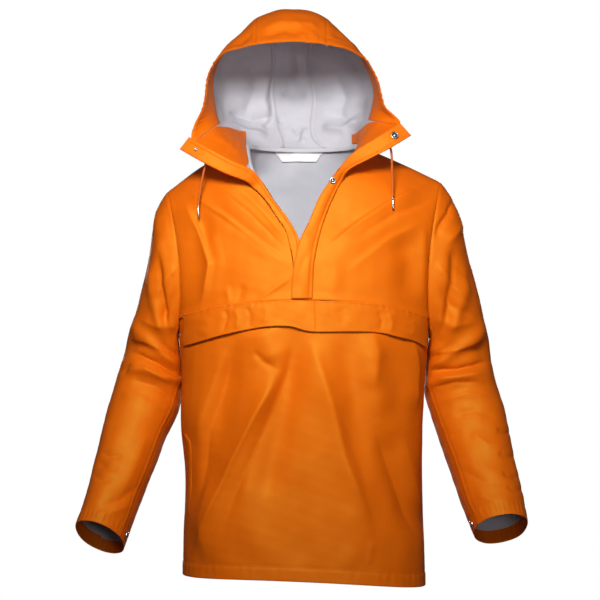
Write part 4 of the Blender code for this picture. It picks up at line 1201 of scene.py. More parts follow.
def addMesh(name, vertices, faces, materials, slots=None):
    # a smooth mesh in the scene, with the number of each face's material
    mesh = bpy.data.meshes.new(name)
    mesh.from_pydata(vertices, [], faces)
    for used in materials:
        mesh.materials.append(used)
    if slots is not None:
        mesh.polygons.foreach_set("material_index", np.array(slots, np.int32))
    mesh.polygons.foreach_set("use_smooth", np.ones(len(faces), bool))
    mesh.update()
    return linked(name, mesh)


def edgeDirections(points, loop, closed):
    # the way out of a sheet at each point of its edge
    countU, countV = points.shape[:2]
    outward = np.zeros((len(loop), 3))
    for number, (i, j) in enumerate(loop):
        if j == 0:
            outward[number] += points[i, 0] - points[i, 1]
        if j == countV - 1:
            outward[number] += points[i, -1] - points[i, -2]
        if not closed and i == 0:
            outward[number] += points[0, j] - points[1, j]
        if not closed and i == countU - 1:
            outward[number] += points[-1, j] - points[-2, j]
    return outward / np.maximum(np.linalg.norm(outward, axis=1, keepdims=True), 1e-9)


def clothObject(name, surface, wall=None, orangeInside=None, materials=None):
    # a closed thin wall: the surface, an inner skin under it, and a rounded edge all round
    wall = wall or cloth["wall"]
    points, normals = surface["points"].copy(), surface["normals"]
    closed, sign = surface["closed"], surface["sign"]
    countU, countV = points.shape[:2]
    if closed:
        loops = [[(i, 0) for i in range(countU)], [(i, countV - 1) for i in range(countU)]]
    else:
        loops = [perimeter(countU, countV)]
    outwards = [edgeDirections(points, loop, closed) for loop in loops]
    for loop, outward in zip(loops, outwards):
        for (i, j), direction in zip(loop, outward):
            points[i, j] = points[i, j] - direction * wall * wallShape["edgeInset"]
    inner = points - normals * wall
    count = countU * countV
    vertices = [points.reshape(-1, 3), inner.reshape(-1, 3)]
    index = np.arange(count).reshape(countU, countV)
    quads = gridFaces(index, closed)
    if sign < 0:
        quads = quads[:, ::-1]
    faces = [quads, quads[:, ::-1] + count]
    slots = [np.zeros(len(quads), int)]
    inside = np.ones(len(quads), int)
    if orangeInside is not None:
        mask = orangeInside.reshape(-1)
        inside[mask[quads].all(axis=1)] = 0
    slots.append(inside)
    start = 2 * count
    for number, (loop, outward) in enumerate(zip(loops, outwards)):
        flat = np.array([index[i, j] for i, j in loop])
        middles = []
        for turn in wallShape["edgeTurns"]:
            lean = math.sin(math.pi * turn) * wallShape["edgeBulge"]
            between = vertices[0][flat] * (1 - turn) + vertices[1][flat] * turn
            vertices.append(between + outward * wall * lean)
            middles.append(np.arange(len(flat)) + start)
            start += len(flat)
        rings = [flat, *middles, flat + count]
        turned = sign if not (closed and number == 1) else -sign
        grey = np.ones(len(flat), int)
        if orangeInside is not None:
            grey[orangeInside.reshape(-1)[flat]] = 0
        for step, (first, second) in enumerate(zip(rings[:-1], rings[1:])):
            strip = np.stack([np.roll(first, -1), first, second, np.roll(second, -1)], axis=-1)
            faces.append(strip if turned > 0 else strip[:, ::-1])
            slots.append(grey if step > 1 else np.zeros(len(strip), int))
    vertices, faces = np.concatenate(vertices).tolist(), np.concatenate(faces).tolist()
    return addMesh(name, vertices, faces, materials or (coat, backing), np.concatenate(slots))


def dress(thing, node=None):
    # everything moves with the one body, and a piece that stands for a node takes its place
    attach(thing, "root")
    if node:
        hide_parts(node)
    return thing


def clothPiece(node, restsOn=(), **options):
    thing = dress(clothObject("cloth_" + node, surfaces[node], **options), node=node)
    return thing


for node in ("front_lower", "back"):
    low = surfaces[node]["distances"]["low"]
    clothPiece(node, orangeInside=low < cloth["hemDepth"])
for side in ("left", "right"):
    clothPiece("front_upper_" + side)
    high = surfaces["sleeve_" + side]["distances"]["high"]
    clothPiece("sleeve_" + side, orangeInside=high < cloth["cuffDepth"])
    first = surfaces["hood_" + side]["distances"]["first"]
    clothPiece("hood_" + side, orangeInside=first < cloth["brimInside"])
first = surfaces["hood_centre"]["distances"]["first"]
clothPiece("hood_centre", orangeInside=first < cloth["brimInside"])
print("stage: sewn panels")


# Pieces that lie on the garment.


def treeOf(name):
    points = surfaces[name]["points"]
    faces = gridFaces(np.arange(points[..., 0].size).reshape(points.shape[:2]))
    return BVHTree.FromPolygons(points.reshape(-1, 3).tolist(), faces.tolist())


frontTree = treeOf("front_whole")
backTree = treeOf("back")


def onTree(tree, start, height):
    # a point this far towards the camera from where a ray from the start to +Y meets a surface
    place, normal, _, _ = tree.ray_cast(Vector(start), Vector((0, 1, 0)))
    if normal.y > 0:
        normal = -normal
    return np.array(place + normal * height)


def onFront(x, z, height):
    return onTree(frontTree, (x, -1.0, z), height)


def sampleGrid(grid, u, v):
    # the grid read between its points, at fractional places
    u = np.clip(u, 0, grid.shape[0] - 1.0001)
    v = np.clip(v, 0, grid.shape[1] - 1.0001)
    i, j = u.astype(int), v.astype(int)
    a, b = (u - i)[..., None], (v - j)[..., None]
    near = grid[i, j] * (1 - b) + grid[i, j + 1] * b
    far = grid[i + 1, j] * (1 - b) + grid[i + 1, j + 1] * b
    return near * (1 - a) + far * a


strips = {
    "wall": 0.0024,
    # innerX innerZ outerX outerZ innerHeight outerHeight, and the inner and outer points along the collar
    "storm_flap": [
        (-0.0225, -0.2680, 0.0150, -0.2680, 0.0085, 0.0031),
        (-0.0180, -0.2130, 0.0170, -0.2130, 0.0085, 0.0031),
        (-0.0075, -0.1680, 0.0240, -0.1720, 0.0085, 0.0031),
        (0.0075, -0.1360, 0.0360, -0.1300, 0.0085, 0.0031),
        (0.0260, -0.0920, 0.0530, -0.0880, 0.0085, 0.0031),
        (0.0430, -0.0660, 0.0660, -0.0640, 0.0090, 0.0045),
    ],
    "underlap": [
        (-0.0030, -0.2620, -0.0170, -0.2620, 0.0040, 0.0035),
        (-0.0040, -0.2050, -0.0200, -0.2050, 0.0040, 0.0035),
        (-0.0090, -0.1650, -0.0310, -0.1540, 0.0040, 0.0035),
        (-0.0270, -0.1300, -0.0470, -0.1270, 0.0040, 0.0035),
        (-0.0480, -0.1020, -0.0660, -0.0990, 0.0045, 0.0040),
        (-0.0700, -0.0680, -0.0860, -0.0780, 0.0060, 0.0050),
    ],
    "storm_flap_collar": [
        (0.0610, -0.1190, -0.0400, 0.0800, -0.1200, -0.0430),
        (0.0870, -0.1240, -0.0120, 0.1130, -0.1290, -0.0255),
        (0.1370, -0.1210, 0.0200, 0.1500, -0.1280, -0.0060),
        (0.1660, -0.1100, 0.0410, 0.1870, -0.1140, 0.0170),
    ],
    "underlap_collar": [
        (-0.0910, -0.1170, -0.0430, -0.1010, -0.1190, -0.0640),
        (-0.1260, -0.1230, -0.0270, -0.1370, -0.1280, -0.0500),
        (-0.1650, -0.1210, -0.0060, -0.1760, -0.1270, -0.0310),
        (-0.2010, -0.1090, 0.0150, -0.2170, -0.1130, -0.0070),
    ],
}


# A strip's edge that shows, and the ridges and grooves beside it: distance from the edge, half width and height.
stripEdges = {
    "storm_flap": ("last", [(0.0032, 0.0022, 0.0008), (0.0065, 0.0018, -0.0008)]),
    "underlap": ("first", [(0.0055, 0.0014, -0.0009)]),
}
underlapRise = {"height": 0.0008, "from": 0.0045, "to": 0.0065}
stripPuckers = (0.0003, 0.013)


def stripSurface(name, sign):
    inner, middle, outer = [], [], []
    for innerX, innerZ, outerX, outerZ, innerHeight, outerHeight in strips[name]:
        inner.append(onFront(innerX, innerZ, innerHeight))
        middle.append(onFront((innerX + outerX) / 2, (innerZ + outerZ) / 2, innerHeight))
        outer.append(onFront(outerX, outerZ, outerHeight))
    for row in strips[name + "_collar"]:
        inner.append(np.array(row[:3]))
        outer.append(np.array(row[3:]))
        middle.append((inner[-1] + outer[-1]) / 2)
    surface = asSurface(refine(np.array([inner, middle, outer]), 9, 18), sign)
    distances = surface["distances"]
    heights = ripple(surface["points"], rippleSizes["strip"], 1.5)
    border, edges = stripEdges[name]
    for away, halfWidth, height in edges:
        heights += height * bell(distances[border], away, halfWidth)
    if name == "underlap":
        rise = ease(underlapRise["from"], underlapRise["to"], distances[border])
        heights += underlapRise["height"] * rise
    heights += creaseHeights(creases[name], *toPixels(surface["points"]))
    heights += puckers(distances["last"], distances["low"], *stripPuckers)
    return raiseSurface(surface, heights)


creases["storm_flap"] = [
    ([(306, 252), (300, 272), (296, 292)], -1.6, 4, 4, 0.4),
    ([(316, 246), (309, 262), (307, 290)], 1.4, 4, 4, 0.3),
    ([(322, 214), (314, 228), (308, 240)], -0.8, 4, 4, 0.3),
]
creases["underlap"] = [
    ([(262, 196), (272, 210), (280, 224)], 0.8, 3, 3, 0.3),
]

flap = {
    "wall": 0.0022,
    "topHeight": 0.0038,
    # x topZ lowZ standOff
    "rows": [
        (-0.211, -0.295, -0.352, 0.005),
        (-0.164, -0.284, -0.338, 0.008),
        (-0.138, -0.279, -0.330, 0.009),
        (-0.101, -0.275, -0.322, 0.007),
        (-0.064, -0.272, -0.316, 0.008),
        (-0.024, -0.270, -0.315, 0.009),
        (0.0155, -0.271, -0.325, 0.007),
        (0.081, -0.273, -0.324, 0.007),
        (0.129, -0.278, -0.327, 0.007),
        (0.160, -0.284, -0.334, 0.009),
        (0.190, -0.291, -0.342, 0.006),
        (0.216, -0.299, -0.356, 0.005),
    ],
    "rowsUp": 9,
    "seamX": 314.0,
    "seamY": 304.0,
    "seamSlope": 0.05,
    # offset from the seam and half width in pixels, and height
    "seamFolds": [(-1.2, 1.3, 0.0012), (1.2, 1.2, -0.0011)],
    "puckers": (0.0004, 0.012),
}


def flapSurface():
    rows = refineWeights(len(flap["rows"]), 5, False) @ np.array(flap["rows"])
    points = []
    for x, topZ, lowZ, standOff in rows:
        line = []
        for share in np.linspace(0, 1, flap["rowsUp"]):
            height = standOff + (flap["topHeight"] - standOff) * share**0.8
            line.append(onFront(x, lowZ + (topZ - lowZ) * share, height))
        points.append(line)
    surface = asSurface(refine(np.array(points), 4, 4), 1.0)
    x, y = toPixels(surface["points"])
    distances = surface["distances"]
    heights = creaseHeights(creases["flap"], x, y) * ease(0.0, 0.012, distances["high"])
    heights += ripple(surface["points"], rippleSizes["flap"], 1.4)
    # the seam down the middle of the flap, with a raised fold beside it
    away = x - (flap["seamX"] + (y - flap["seamY"]) * flap["seamSlope"])
    for offset, halfWidth, height in flap["seamFolds"]:
        heights += height * bell(away, offset, halfWidth)
    heights += puckers(distances["high"], surface["points"][..., 0], *flap["puckers"])
    return raiseSurface(surface, heights)


surfaces["storm_flap"] = stripSurface("storm_flap", 1.0)
surfaces["underlap"] = stripSurface("underlap", -1.0)
surfaces["pocket_flap"] = flapSurface()

facing = {
    "wall": 0.0012,
    "under": 0.0019,
    "corner": 0.18,
    "endX": {"left": 245.0, "right": 353.0},
    "endColumns": (42, 90),
    "smoothing": 9,
    "lowRow": (7.0, 3.0),
    "lowEase": (0.08, 0.35),
    "highRow": (38.3, 17.0),
    "highEase": (0.5, 1.0),
    "lowest": 0.0002,
    "count": (41, 46),
}


def facingSurface(side):
    # a facing inside the collar, with its free corners rounded
    source = surfaces["hood_" + side]
    mirror = 1 if side == "left" else -1
    countReach, countShare = facing["count"]
    share = np.linspace(0, 1, countShare)
    corner = facing["corner"]
    intoCorner = np.clip((np.abs(2 * share - 1) - 1 + corner) / corner, 0, 1)
    rounding = 1 - np.sqrt(1 - intoCorner**2)
    (lowNear, lowFar), (highNear, highFar) = facing["lowRow"], facing["highRow"]
    # where each row crosses the line that the facing ends on, smoothed
    across = toPixels(source["points"])[0] * mirror
    first, last = facing["endColumns"]
    ends = []
    for row in lowFar + share * (highFar - lowFar):
        columns = across[first:last, int(round(row))]
        ends.append(np.interp(facing["endX"][side] * mirror, columns, np.arange(first, last)))
    wide = facing["smoothing"]
    ends = np.convolve(np.pad(ends, wide // 2, mode="edge"), np.ones(wide) / wide, mode="valid")
    reach = np.linspace(0, 1, countReach)[:, None]
    u = reach * (ends * (1 - corner * rounding))[None, :]
    # the free end is lower than the end at the brim
    low = lowNear + (lowFar - lowNear) * ease(*facing["lowEase"], reach)
    high = highNear + (highFar - highNear) * ease(*facing["highEase"], reach)
    v = low + share[None, :] * (high - low)
    surface = asSurface(underSurface(source, u, v), source["sign"])
    heights = -creaseHeights(creases["facing"], *toPixels(surface["points"]))
    heights -= ripple(surface["points"], rippleSizes["facing"], 2.0)
    return raiseSurface(surface, np.minimum(heights, facing["lowest"]))


def underSurface(source, u, v):
    # points close under a surface, at fractional places of its grid
    points, normals = sampleGrid(source["points"], u, v), sampleGrid(source["normals"], u, v)
    return points - normals / np.linalg.norm(normals, axis=2, keepdims=True) * facing["under"]


creases["facing"] = [
    ([(218, 136), (230, 146), (240, 156)], 1.2, 3, 3, 0.3),
    ([(226, 130), (232, 142), (228, 156)], 1.0, 3, 3, 0.3),
    ([(236, 132), (240, 144), (238, 158)], 0.9, 3, 3, 0.3),
    ([(372, 128), (366, 138), (362, 146)], 1.0, 3, 3, 0.3),
]


# The inside of the hem round the face opening, in the grid rows and columns of the hood's panels.
brim = {
    "columns": 11,
    "sideRows": (38.6, 111, 105),
    "centreRows": (1, 35, 50),
    "centreWidth": 8.0,
    "sideWidth": 20,
    # what it is wider where it runs down to the collar, and in its middle
    "lowExtra": 20,
    "middleExtra": 13,
    "lowEnds": (38, 74),
    "middleEnds": (92, 111),
    "puckers": (0.0015, 0.0105),
    "puckersFrom": 0.012,
    "puckerSlant": 0.35,
}


def brimBand(source, rows, wide):
    u = np.linspace(0, 1, brim["columns"])[:, None] * wide[None, :]
    return underSurface(source, u, np.repeat(rows[None, :], brim["columns"], axis=0))


def brimSurface():
    # from one collar facing over the crown to the other
    rows = np.linspace(*brim["sideRows"])
    middle = ease(*brim["lowEnds"], rows)
    wide = brim["sideWidth"] + brim["lowExtra"] * (1 - middle)
    wide = wide + brim["middleExtra"] * middle * (1 - ease(*brim["middleEnds"], rows))
    left = brimBand(surfaces["hood_left"], rows, wide)
    right = brimBand(surfaces["hood_right"], rows, wide)[:, ::-1]
    rows = np.linspace(*brim["centreRows"])
    centre = brimBand(surfaces["hood_centre"], rows, np.full(len(rows), brim["centreWidth"]))
    points = np.concatenate([left, centre, right], axis=1)
    for _ in range(2):
        points[:, 1:-1] = (points[:, :-2] + 2 * points[:, 1:-1] + points[:, 2:]) / 4
    surface = asSurface(points, -1.0)
    away = surface["distances"]["first"]
    along = lengthsAlong(points) + away * brim["puckerSlant"]
    gathers = puckers(np.abs(away - brim["puckersFrom"]), along, *brim["puckers"])
    return raiseSurface(surface, gathers * ease(0.0, 0.004, away))


for side in ("left", "right"):
    surfaces["collar_facing_" + side] = facingSurface(side)
surfaces["hood_hem"] = brimSurface()

label = {
    "wall": 0.0007,
    "topHalf": 0.046,
    "lowHalf": 0.031,
    "height": 0.019,
    "x": -0.009,
    "topZ": 0.004,
    "sag": 0.0008,
    "stand": 0.0032,
    "curl": 0.0012,
    "wave": 0.0005,
    "count": (25, 9),
}


def labelSurface():
    points = []
    for part in np.linspace(-1, 1, label["count"][0]):
        line = []
        for share in np.linspace(0, 1, label["count"][1]):
            x = label["x"] + part * (label["lowHalf"] + (label["topHalf"] - label["lowHalf"]) * share)
            z = label["topZ"] - label["height"] * (1 - share) - label["sag"] * part**2
            curl = label["curl"] * (1 - share) ** 2 + label["wave"] * math.sin(part * 5 + share * 2)
            line.append(onTree(backTree, (x, 0.0, z), label["stand"] + curl))
        points.append(line)
    return asSurface(points, 1.0)


surfaces["neck_label"] = labelSurface()

welt = {
    "wall": 0.0013,
    "stand": 0.0021,
    # x z halfWidth
    "rows": [
        (-0.2125, -0.507, 0.004),
        (-0.2040, -0.523, 0.004),
        (-0.2020, -0.560, 0.004),
        (-0.2030, -0.650, 0.004),
    ],
    "crown": 0.0009,
    "count": (7, 60),
}


def weltSurface():
    points = []
    for part in np.linspace(-1, 1, welt["count"][0]):
        line = []
        for place in np.linspace(len(welt["rows"]) - 1, 0, welt["count"][1]):
            x, z, halfWidth = curveAt(welt["rows"], place)
            line.append(onFront(x + part * halfWidth, z, welt["stand"] - welt["crown"] * part**2))
        points.append(line)
    return asSurface(points, 1.0)


surfaces["pocket_welt"] = weltSurface()

bothUppers = ["cloth_front_upper_left", "cloth_front_upper_right"]
# node, what it lies on, and the wall
overlays = [
    ("storm_flap", bothUppers, strips["wall"]),
    ("underlap", bothUppers, strips["wall"]),
    ("pocket_flap", ["cloth_front_lower"], flap["wall"]),
    ("collar_facing_left", ["cloth_hood_left"], facing["wall"]),
    ("collar_facing_right", ["cloth_hood_right"], facing["wall"]),
    ("hood_hem", ["cloth_hood_centre"], facing["wall"]),
    ("neck_label", ["cloth_back"], label["wall"]),
    ("pocket_welt", ["cloth_front_lower"], welt["wall"]),
]
for node, under, wall in overlays:
    used = labelCloth if node == "neck_label" else coat
    piece = clothPiece(node, under, wall=wall, materials=(used, used))
print("stage: strips, flap, facings, label and welt")


# Stitching and tapes.

stitch = {
    "spacing": 0.0036,
    "length": 0.0024,
    "radius": 0.00032,
    "sides": 5,
    # place along the stitch, and the share of the radius there
    "profile": [(-0.5, 0.35), (-0.25, 1.0), (0.25, 1.0), (0.5, 0.35)],
    "lift": 0.35,
    "sink": 1.1,
    "shortest": 1e-5,
}


def lineAt(surface, border, distance, inside=False, wall=0.0):
    # a line along a border at this distance from it: points and normals
    points, normals, away = surface["points"], surface["normals"], surface["distances"][border]
    if border in ("first", "last"):
        points, normals, away = points.transpose(1, 0, 2), normals.transpose(1, 0, 2), away.T
    if border in ("last", "high"):
        points, normals, away = points[:, ::-1], normals[:, ::-1], away[:, ::-1]
    found, facings = [], []
    for row in range(len(points)):
        place = float(np.interp(distance, away[row], np.arange(points.shape[1])))
        index = min(int(place), points.shape[1] - 2)
        part = place - index
        found.append(points[row, index] * (1 - part) + points[row, index + 1] * part)
        facings.append(normals[row, index] * (1 - part) + normals[row, index + 1] * part)
    found, facings = np.array(found), np.array(facings)
    facings /= np.linalg.norm(facings, axis=1, keepdims=True)
    if inside:
        found, facings = found - facings * wall, -facings
    return found, facings


def onLine(place, walked, values):
    return np.array([np.interp(place, walked, values[:, k]) for k in range(3)])


def stitchMesh(name, lines, used):
    # short rounded stitches along lines, with their ends sunk into the cloth
    sides, radius = stitch["sides"], stitch["radius"]
    angles = np.arange(sides) * 2 * math.pi / sides
    vertices, faces = [], []
    for points, normals in lines:
        walked = walkedAlong(points)
        for place in np.arange(stitch["spacing"] / 2, walked[-1], stitch["spacing"]):
            first, last = [onLine(place + end * stitch["length"] / 2, walked, points) for end in (-1, 1)]
            up = onLine(place, walked, normals)
            run = last - first
            size = np.linalg.norm(run)
            if size < stitch["shortest"]:
                continue
            run /= size
            over = np.cross(run, up)
            over /= np.linalg.norm(over)
            up = np.cross(over, run)
            middle = (first + last) / 2 + up * radius * stitch["lift"]
            start = len(vertices)
            for at, wide in stitch["profile"]:
                sink = up * radius * (stitch["sink"] * (abs(at) * 2) ** 3)
                for angle in angles:
                    offset = (over * math.cos(angle) + up * math.sin(angle)) * radius * wide
                    vertices.append(tuple(middle + run * size * at + offset - sink))
            faces += tubeFaces(len(stitch["profile"]), sides, start)
    return dress(addMesh(name, vertices, faces, [used]))


def tubeFaces(rings, sides, start=0):
    # the faces of a capped tube of rings
    faces = []
    for ring in range(rings - 1):
        for side in range(sides):
            first, second = start + ring * sides + side, start + ring * sides + (side + 1) % sides
            faces.append((first, second, second + sides, first + sides))
    last = start + (rings - 1) * sides
    return faces + [tuple(range(start + sides - 1, start - 1, -1)), tuple(range(last, last + sides))]


def columnLine(surface, column):
    # a line down a sleeve at a fractional column
    points, normals = surface["points"], surface["normals"]
    index = int(column) % len(points)
    part = column - int(column)
    after = (index + 1) % len(points)
    line = points[index] * (1 - part) + points[after] * part
    return line, normals[index]


# node, border and how far in the stitches lie
stitchRows = [
    ("front_lower", "low", cloth["hemDepth"]),
    ("back", "low", cloth["hemDepth"]),
    ("pocket_flap", "high", 0.0028),
    ("storm_flap", "last", 0.0065),
    ("storm_flap", "first", 0.0020),
    ("underlap", "last", 0.0020),
    ("underlap", "first", 0.0072),
]
# how far beside the sleeve's seam its stitches lie, in half widths, which of its rings they pass, the first row
# of the hood's brim that lies above the collar, and how far in the facings' stitches are
besideSeam = 1.9
stitchedRings = slice(6, -3)
hoodStitchRow = 56
facingStitch = 0.0025

orangeLines = [lineAt(surfaces[node], border, distance) for node, border, distance in stitchRows]
for side in ("left", "right"):
    brimLine = lineAt(surfaces["hood_" + side], "first", cloth["brimDepth"])
    orangeLines.append(tuple(values[hoodStitchRow:] for values in brimLine))
    sleeve = surfaces["sleeve_" + side]
    offset = sleeveSeam["halfWidth"] / roundSleeve["armRound"] * 360 * besideSeam
    for shift in (-offset, offset):
        degrees = sleeveSeam["degrees"] + shift
        column = float(np.interp(degrees, sleeve["degrees"], np.arange(len(sleeve["degrees"]))))
        orangeLines.append(tuple(values[stitchedRings] for values in columnLine(sleeve, column)))
    facingSide = surfaces["collar_facing_" + side]
    orangeLines.append(lineAt(facingSide, "last", facingStitch, True, facing["wall"]))
orangeLines.append(lineAt(surfaces["hood_centre"], "first", cloth["brimDepth"]))
stitchMesh("stitches_orange", orangeLines, thread)

tape = {
    "width": 0.0085,
    "stand": 0.0012,
    "gap": 0.0003,
    "wall": 0.0005,
    "neckGap": 0.0006,
    "neckWall": 0.0006,
    "neckDrop": 0.001,
    "neckMiddle": (-0.0072, -0.02, 0.0),
    "collarColumns": 57,
    "count": 90,
    "armholeCount": 110,
    "sideTop": -0.24,
    "neckStitch": 0.0013,
    "hoodStitch": 0.0012,
    "labelStitch": 0.0008,
}


def neckTape():
    # the tape over the neck seam, inside the back of the neck
    seam = surfaces["back"]["points"][:, -1]
    middle = len(seam) // 2
    reach = 5 * steps["neck"] // 2 + 2
    seam = seam[middle - reach : middle + reach + 1]
    for _ in range(4):
        seam[1:-1] = (seam[:-2] + 2 * seam[1:-1] + seam[2:]) / 4
    inward = np.array(tape["neckMiddle"]) - seam * np.array([1, 1, 0])
    inward /= np.linalg.norm(inward, axis=1, keepdims=True)
    points = []
    for share in np.linspace(-1, 1, 9):
        rise = np.array([0, 0, tape["width"] / 2 * share - tape["neckDrop"]])
        stand = cloth["wall"] + tape["neckGap"] + tape["stand"] * (1 - share**4)
        points.append(seam + inward * stand + rise)
    return asSurface(np.array(points).transpose(1, 0, 2), 1.0)


def tapePiece(name, wall):
    return dress(clothObject(name, surfaces[name], wall=wall, materials=(backing, coat)))


surfaces["neck_tape"] = neckTape()
tapePiece("neck_tape", tape["neckWall"])


def resampled(line, count):
    walked = walkedAlong(line[0])
    places = np.linspace(0, walked[-1], count)
    return tuple(onLine(places, walked, values).T for values in line)


def seamTape(name, lines, count=tape["count"], high=math.inf):
    # a narrow tape inside a seam, over both of its pieces and up to this height
    near, seam = [resampled(line, count) for line in lines]
    kept = seam[0][:, 2] < high
    points = []
    for share in np.linspace(-1, 1, 7):
        stand = tape["gap"] + tape["stand"] * (1 - share**4)
        points.append((seam[0] + (near[0] - seam[0]) * share + near[1] * stand)[kept])
    points = np.array(points).transpose(1, 0, 2)
    surface = asSurface(points, 1.0)
    if surface["normals"][10, 3] @ near[1][kept][10] < 0:
        surface = asSurface(points, -1.0)
    surfaces[name] = surface
    tapePiece(name, tape["wall"])


def seamLines(node, border):
    # the line beside a seam and the seam's own, on the inside
    surface = surfaces[node]
    lines = [lineAt(surface, border, distance, True, cloth["wall"]) for distance in (tape["width"] / 2, 0.0)]
    if surface["closed"]:
        lines = [tuple(np.concatenate([values, values[:1]]) for values in line) for line in lines]
    return lines


for side, border in (("left", "low"), ("right", "high")):
    seamTape("hood_tape_" + side, seamLines("hood_centre", border))
for side, border in (("left", "first"), ("right", "last")):
    seamTape("armhole_tape_" + side, seamLines("sleeve_" + side, "low"), tape["armholeCount"])
    seamTape("side_tape_" + side, seamLines("back", border), high=tape["sideTop"])
    collarLines = seamLines("hood_" + side, "low")
    collarLines = [tuple(values[: tape["collarColumns"]] for values in line) for line in collarLines]
    seamTape("collar_tape_" + side, collarLines)
greyLines = [lineAt(surfaces["neck_tape"], border, tape["neckStitch"]) for border in ("low", "high")]
for side in ("left", "right"):
    hoodTape = surfaces["hood_tape_" + side]
    greyLines += [lineAt(hoodTape, border, tape["hoodStitch"]) for border in ("first", "last")]
stitchMesh("stitches_grey", greyLines, greyThread)
labelLines = [lineAt(surfaces["neck_label"], border, tape["labelStitch"]) for border in ("low", "high")]
stitchMesh("stitches_label", labelLines, labelEdge)
print("stage: stitching and tape")


# Metal parts.


# Profiles in shares of the radius and the height, from the end that lies on the cloth or holds the cord.
metal = {
    "cap": [
        (0.90, 0.0),
        (0.99, 0.10),
        (1.0, 0.32),
        (0.97, 0.55),
        (0.88, 0.74),
        (0.80, 0.80),
        (0.74, 0.70),
        (0.70, 0.62),
        (0.62, 0.66),
        (0.50, 0.84),
        (0.34, 0.95),
        (0.18, 0.99),
        (0.05, 1.0),
    ],
    "socket": [
        (0.94, 0.0),
        (1.0, 0.20),
        (1.0, 0.55),
        (0.94, 0.86),
        (0.84, 1.0),
        (0.72, 0.98),
        (0.64, 0.80),
        (0.60, 0.45),
        (0.56, 0.40),
        (0.40, 0.40),
        (0.36, 0.62),
        (0.26, 0.84),
        (0.14, 0.92),
        (0.04, 0.93),
    ],
    "tip": [
        (0.70, 0.0),
        (0.92, 0.02),
        (1.0, 0.06),
        (1.0, 0.16),
        (0.90, 0.18),
        (0.90, 0.22),
        (1.0, 0.24),
        (1.0, 0.84),
        (0.94, 0.93),
        (0.78, 0.985),
        (0.5, 1.0),
    ],
    "tipWidth": 0.72,
    "underlapWidth": 0.6,
    # the sleeve's ring, counted from the cuff's edge, whose middle the cuff's snap faces away from
    "cuffRing": -8,
    "segments": 40,
    # the shares of the widest radius between which a snap's hollow is painted near black as shade, past its
    # outer rings
    "hollow": (0.45, 0.74),
    "outerRings": 3,
}


def nodeFrame(node, along):
    # centre, axis, lowest and highest place along it and radius of a CAD node, from its own points
    points = np.array([vertex.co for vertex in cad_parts[node].data.vertices], float)
    points = np.unique(np.round(points, 6), axis=0)
    centre = points.mean(0)
    _, _, axes = np.linalg.svd(points - centre)
    axis = axes[0] if along else axes[2]
    reach = (points - centre) @ axis
    radius = np.linalg.norm((points - centre) - np.outer(reach, axis), axis=1).max()
    return centre, axis, reach.min(), reach.max(), radius


def metalPiece(node, kind, facingPoint, share=1.0):
    # a lathe in place of a node, whose upper end looks towards the point
    centre, axis, low, high, radius = nodeFrame(node, kind == "tip")
    if np.dot(axis, np.array(facingPoint) - centre) < 0:
        axis, low, high = -axis, -high, -low
    profile = [(share * radius * wide, (high - low) * tall) for wide, tall in metal[kind]]
    base = centre + axis * low
    turn = np.array(Vector(axis).normalized().to_track_quat("Z", "Y").to_matrix())
    segments = metal["segments"]
    vertices = []
    for wide, tall in profile:
        for angle in np.arange(segments) * 2 * math.pi / segments:
            local = np.array([wide * math.cos(angle), wide * math.sin(angle), tall])
            vertices.append(tuple(turn @ local + base))
    faces = tubeFaces(len(profile), segments)
    slots = np.zeros(len(faces), int)
    widest = max(wide for wide, _ in profile)
    # the rings in a socket's or cap's hollow get the near-black painted shade
    if kind != "tip":
        shadeFrom, shadeTo = metal["hollow"]
        for ring in range(metal["outerRings"], len(profile) - 1):
            if shadeFrom * widest < (profile[ring][0] + profile[ring + 1][0]) / 2 < shadeTo * widest:
                slots[ring * segments : (ring + 1) * segments] = 1
    return dress(addMesh("metal_" + node, vertices, faces, (steel, recessShade), slots), node)


metalPiece("snap_corner", "socket", (0.2, -2.0, 0.1))
metalPiece("snap_neck", "socket", (0.0, -2.0, 0.0))
metalPiece("snap_underlap", "cap", (-0.2, -2.0, 0.0), metal["underlapWidth"])
for side in ("left", "right"):
    armMiddle = surfaces["sleeve_" + side]["points"][:, metal["cuffRing"]].mean(axis=0)
    centre = nodeFrame("snap_cuff_" + side, False)[0]
    metalPiece("snap_cuff_" + side, "cap", centre + (centre - armMiddle) * 10)
for side in ("left", "right"):
    metalPiece("tip_" + side, "tip", (0.0, 0.0, -10.0), metal["tipWidth"])
for side in ("left", "right"):
    thing = cords[side]
    thing.data.materials.append(braid)
    dress(thing, "drawstring_" + side)
print("stage: metal parts and drawstrings")


# The studio.


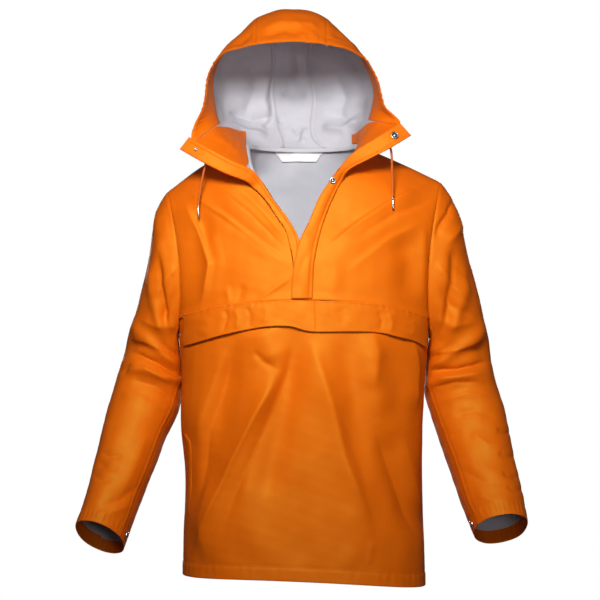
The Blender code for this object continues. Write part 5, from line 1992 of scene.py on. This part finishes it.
# each light: where it stands, what it lights, size, spread in degrees, power and colour
studio = {
    "lights": {
        "key": ((-0.15, -1.91, 0.62), (-0.01, 0.0, -0.13), 0.5, 60.0, 6.75, (1.0, 1.0, 1.0)),
        "fill": ((0.85, -3.05, -0.30), (0.03, 0.0, -0.25), 0.7, 100.0, 4.1, (1.0, 0.96, 0.96)),
        "backLeft": ((-0.9, 3.3, 0.0), (0.0, 0.0, -0.3), 0.9, 80.0, 7.5, (1.0, 1.0, 1.0)),
        "backRight": ((0.9, 3.3, 0.1), (0.0, 0.0, -0.3), 0.9, 80.0, 7.5, (1.0, 1.0, 1.0)),
    },
    "ambient": (0.085, 0.063, 0.067),
    "floorZ": -1.7,
    "floorSize": 14.0,
    "floorColour": (0.30, 0.30, 0.30),
}


def areaLight(name, place, target, size, spread, power, colour):
    data = bpy.data.lights.new(name, "AREA")
    data.shape = "DISK"
    data.size = size
    data.spread = math.radians(spread)
    data.energy = power
    data.color = colour
    thing = linked(name, data)
    thing.location = place
    thing.rotation_euler = (Vector(target) - Vector(place)).to_track_quat("-Z", "Y").to_euler()


for name, values in studio["lights"].items():
    areaLight(name, *values)


def whiteForCamera(tree, dimKind, plainKind, outKind, colour):
    # plain white to the camera and dim to everything else, so that it doesn't light the garment's edges
    tree.nodes.clear()
    dim = newNode(tree, dimKind, Color=(*colour, 1.0))
    plain = newNode(tree, plainKind, Color=(1.0, 1.0, 1.0, 1.0))
    path = tree.nodes.new("ShaderNodeLightPath")
    mix = newNode(tree, "ShaderNodeMixShader", Fac=path.outputs["Is Camera Ray"])
    feed(tree, mix.inputs[1], dim.outputs[0])
    feed(tree, mix.inputs[2], plain.outputs[0])
    newNode(tree, outKind, Surface=mix.outputs[0])


def makeWorld():
    world = bpy.data.worlds.new("studio")
    world.use_nodes = True
    kinds = ("ShaderNodeBackground", "ShaderNodeBackground", "ShaderNodeOutputWorld")
    whiteForCamera(world.node_tree, *kinds, studio["ambient"])
    bpy.context.scene.world = world


def makeFloor():
    made = bpy.data.materials.new("pale_floor")
    made.use_nodes = True
    kinds = ("ShaderNodeBsdfDiffuse", "ShaderNodeEmission", "ShaderNodeOutputMaterial")
    whiteForCamera(made.node_tree, *kinds, studio["floorColour"])
    half = studio["floorSize"] / 2
    corners = [(-half, -half), (half, -half), (half, half), (-half, half)]
    addMesh("floor", [(*corner, studio["floorZ"]) for corner in corners], [(0, 1, 2, 3)], [made])


makeWorld()
makeFloor()
bpy.context.scene.view_settings.view_transform = "Standard"
print("stage: light and floor")
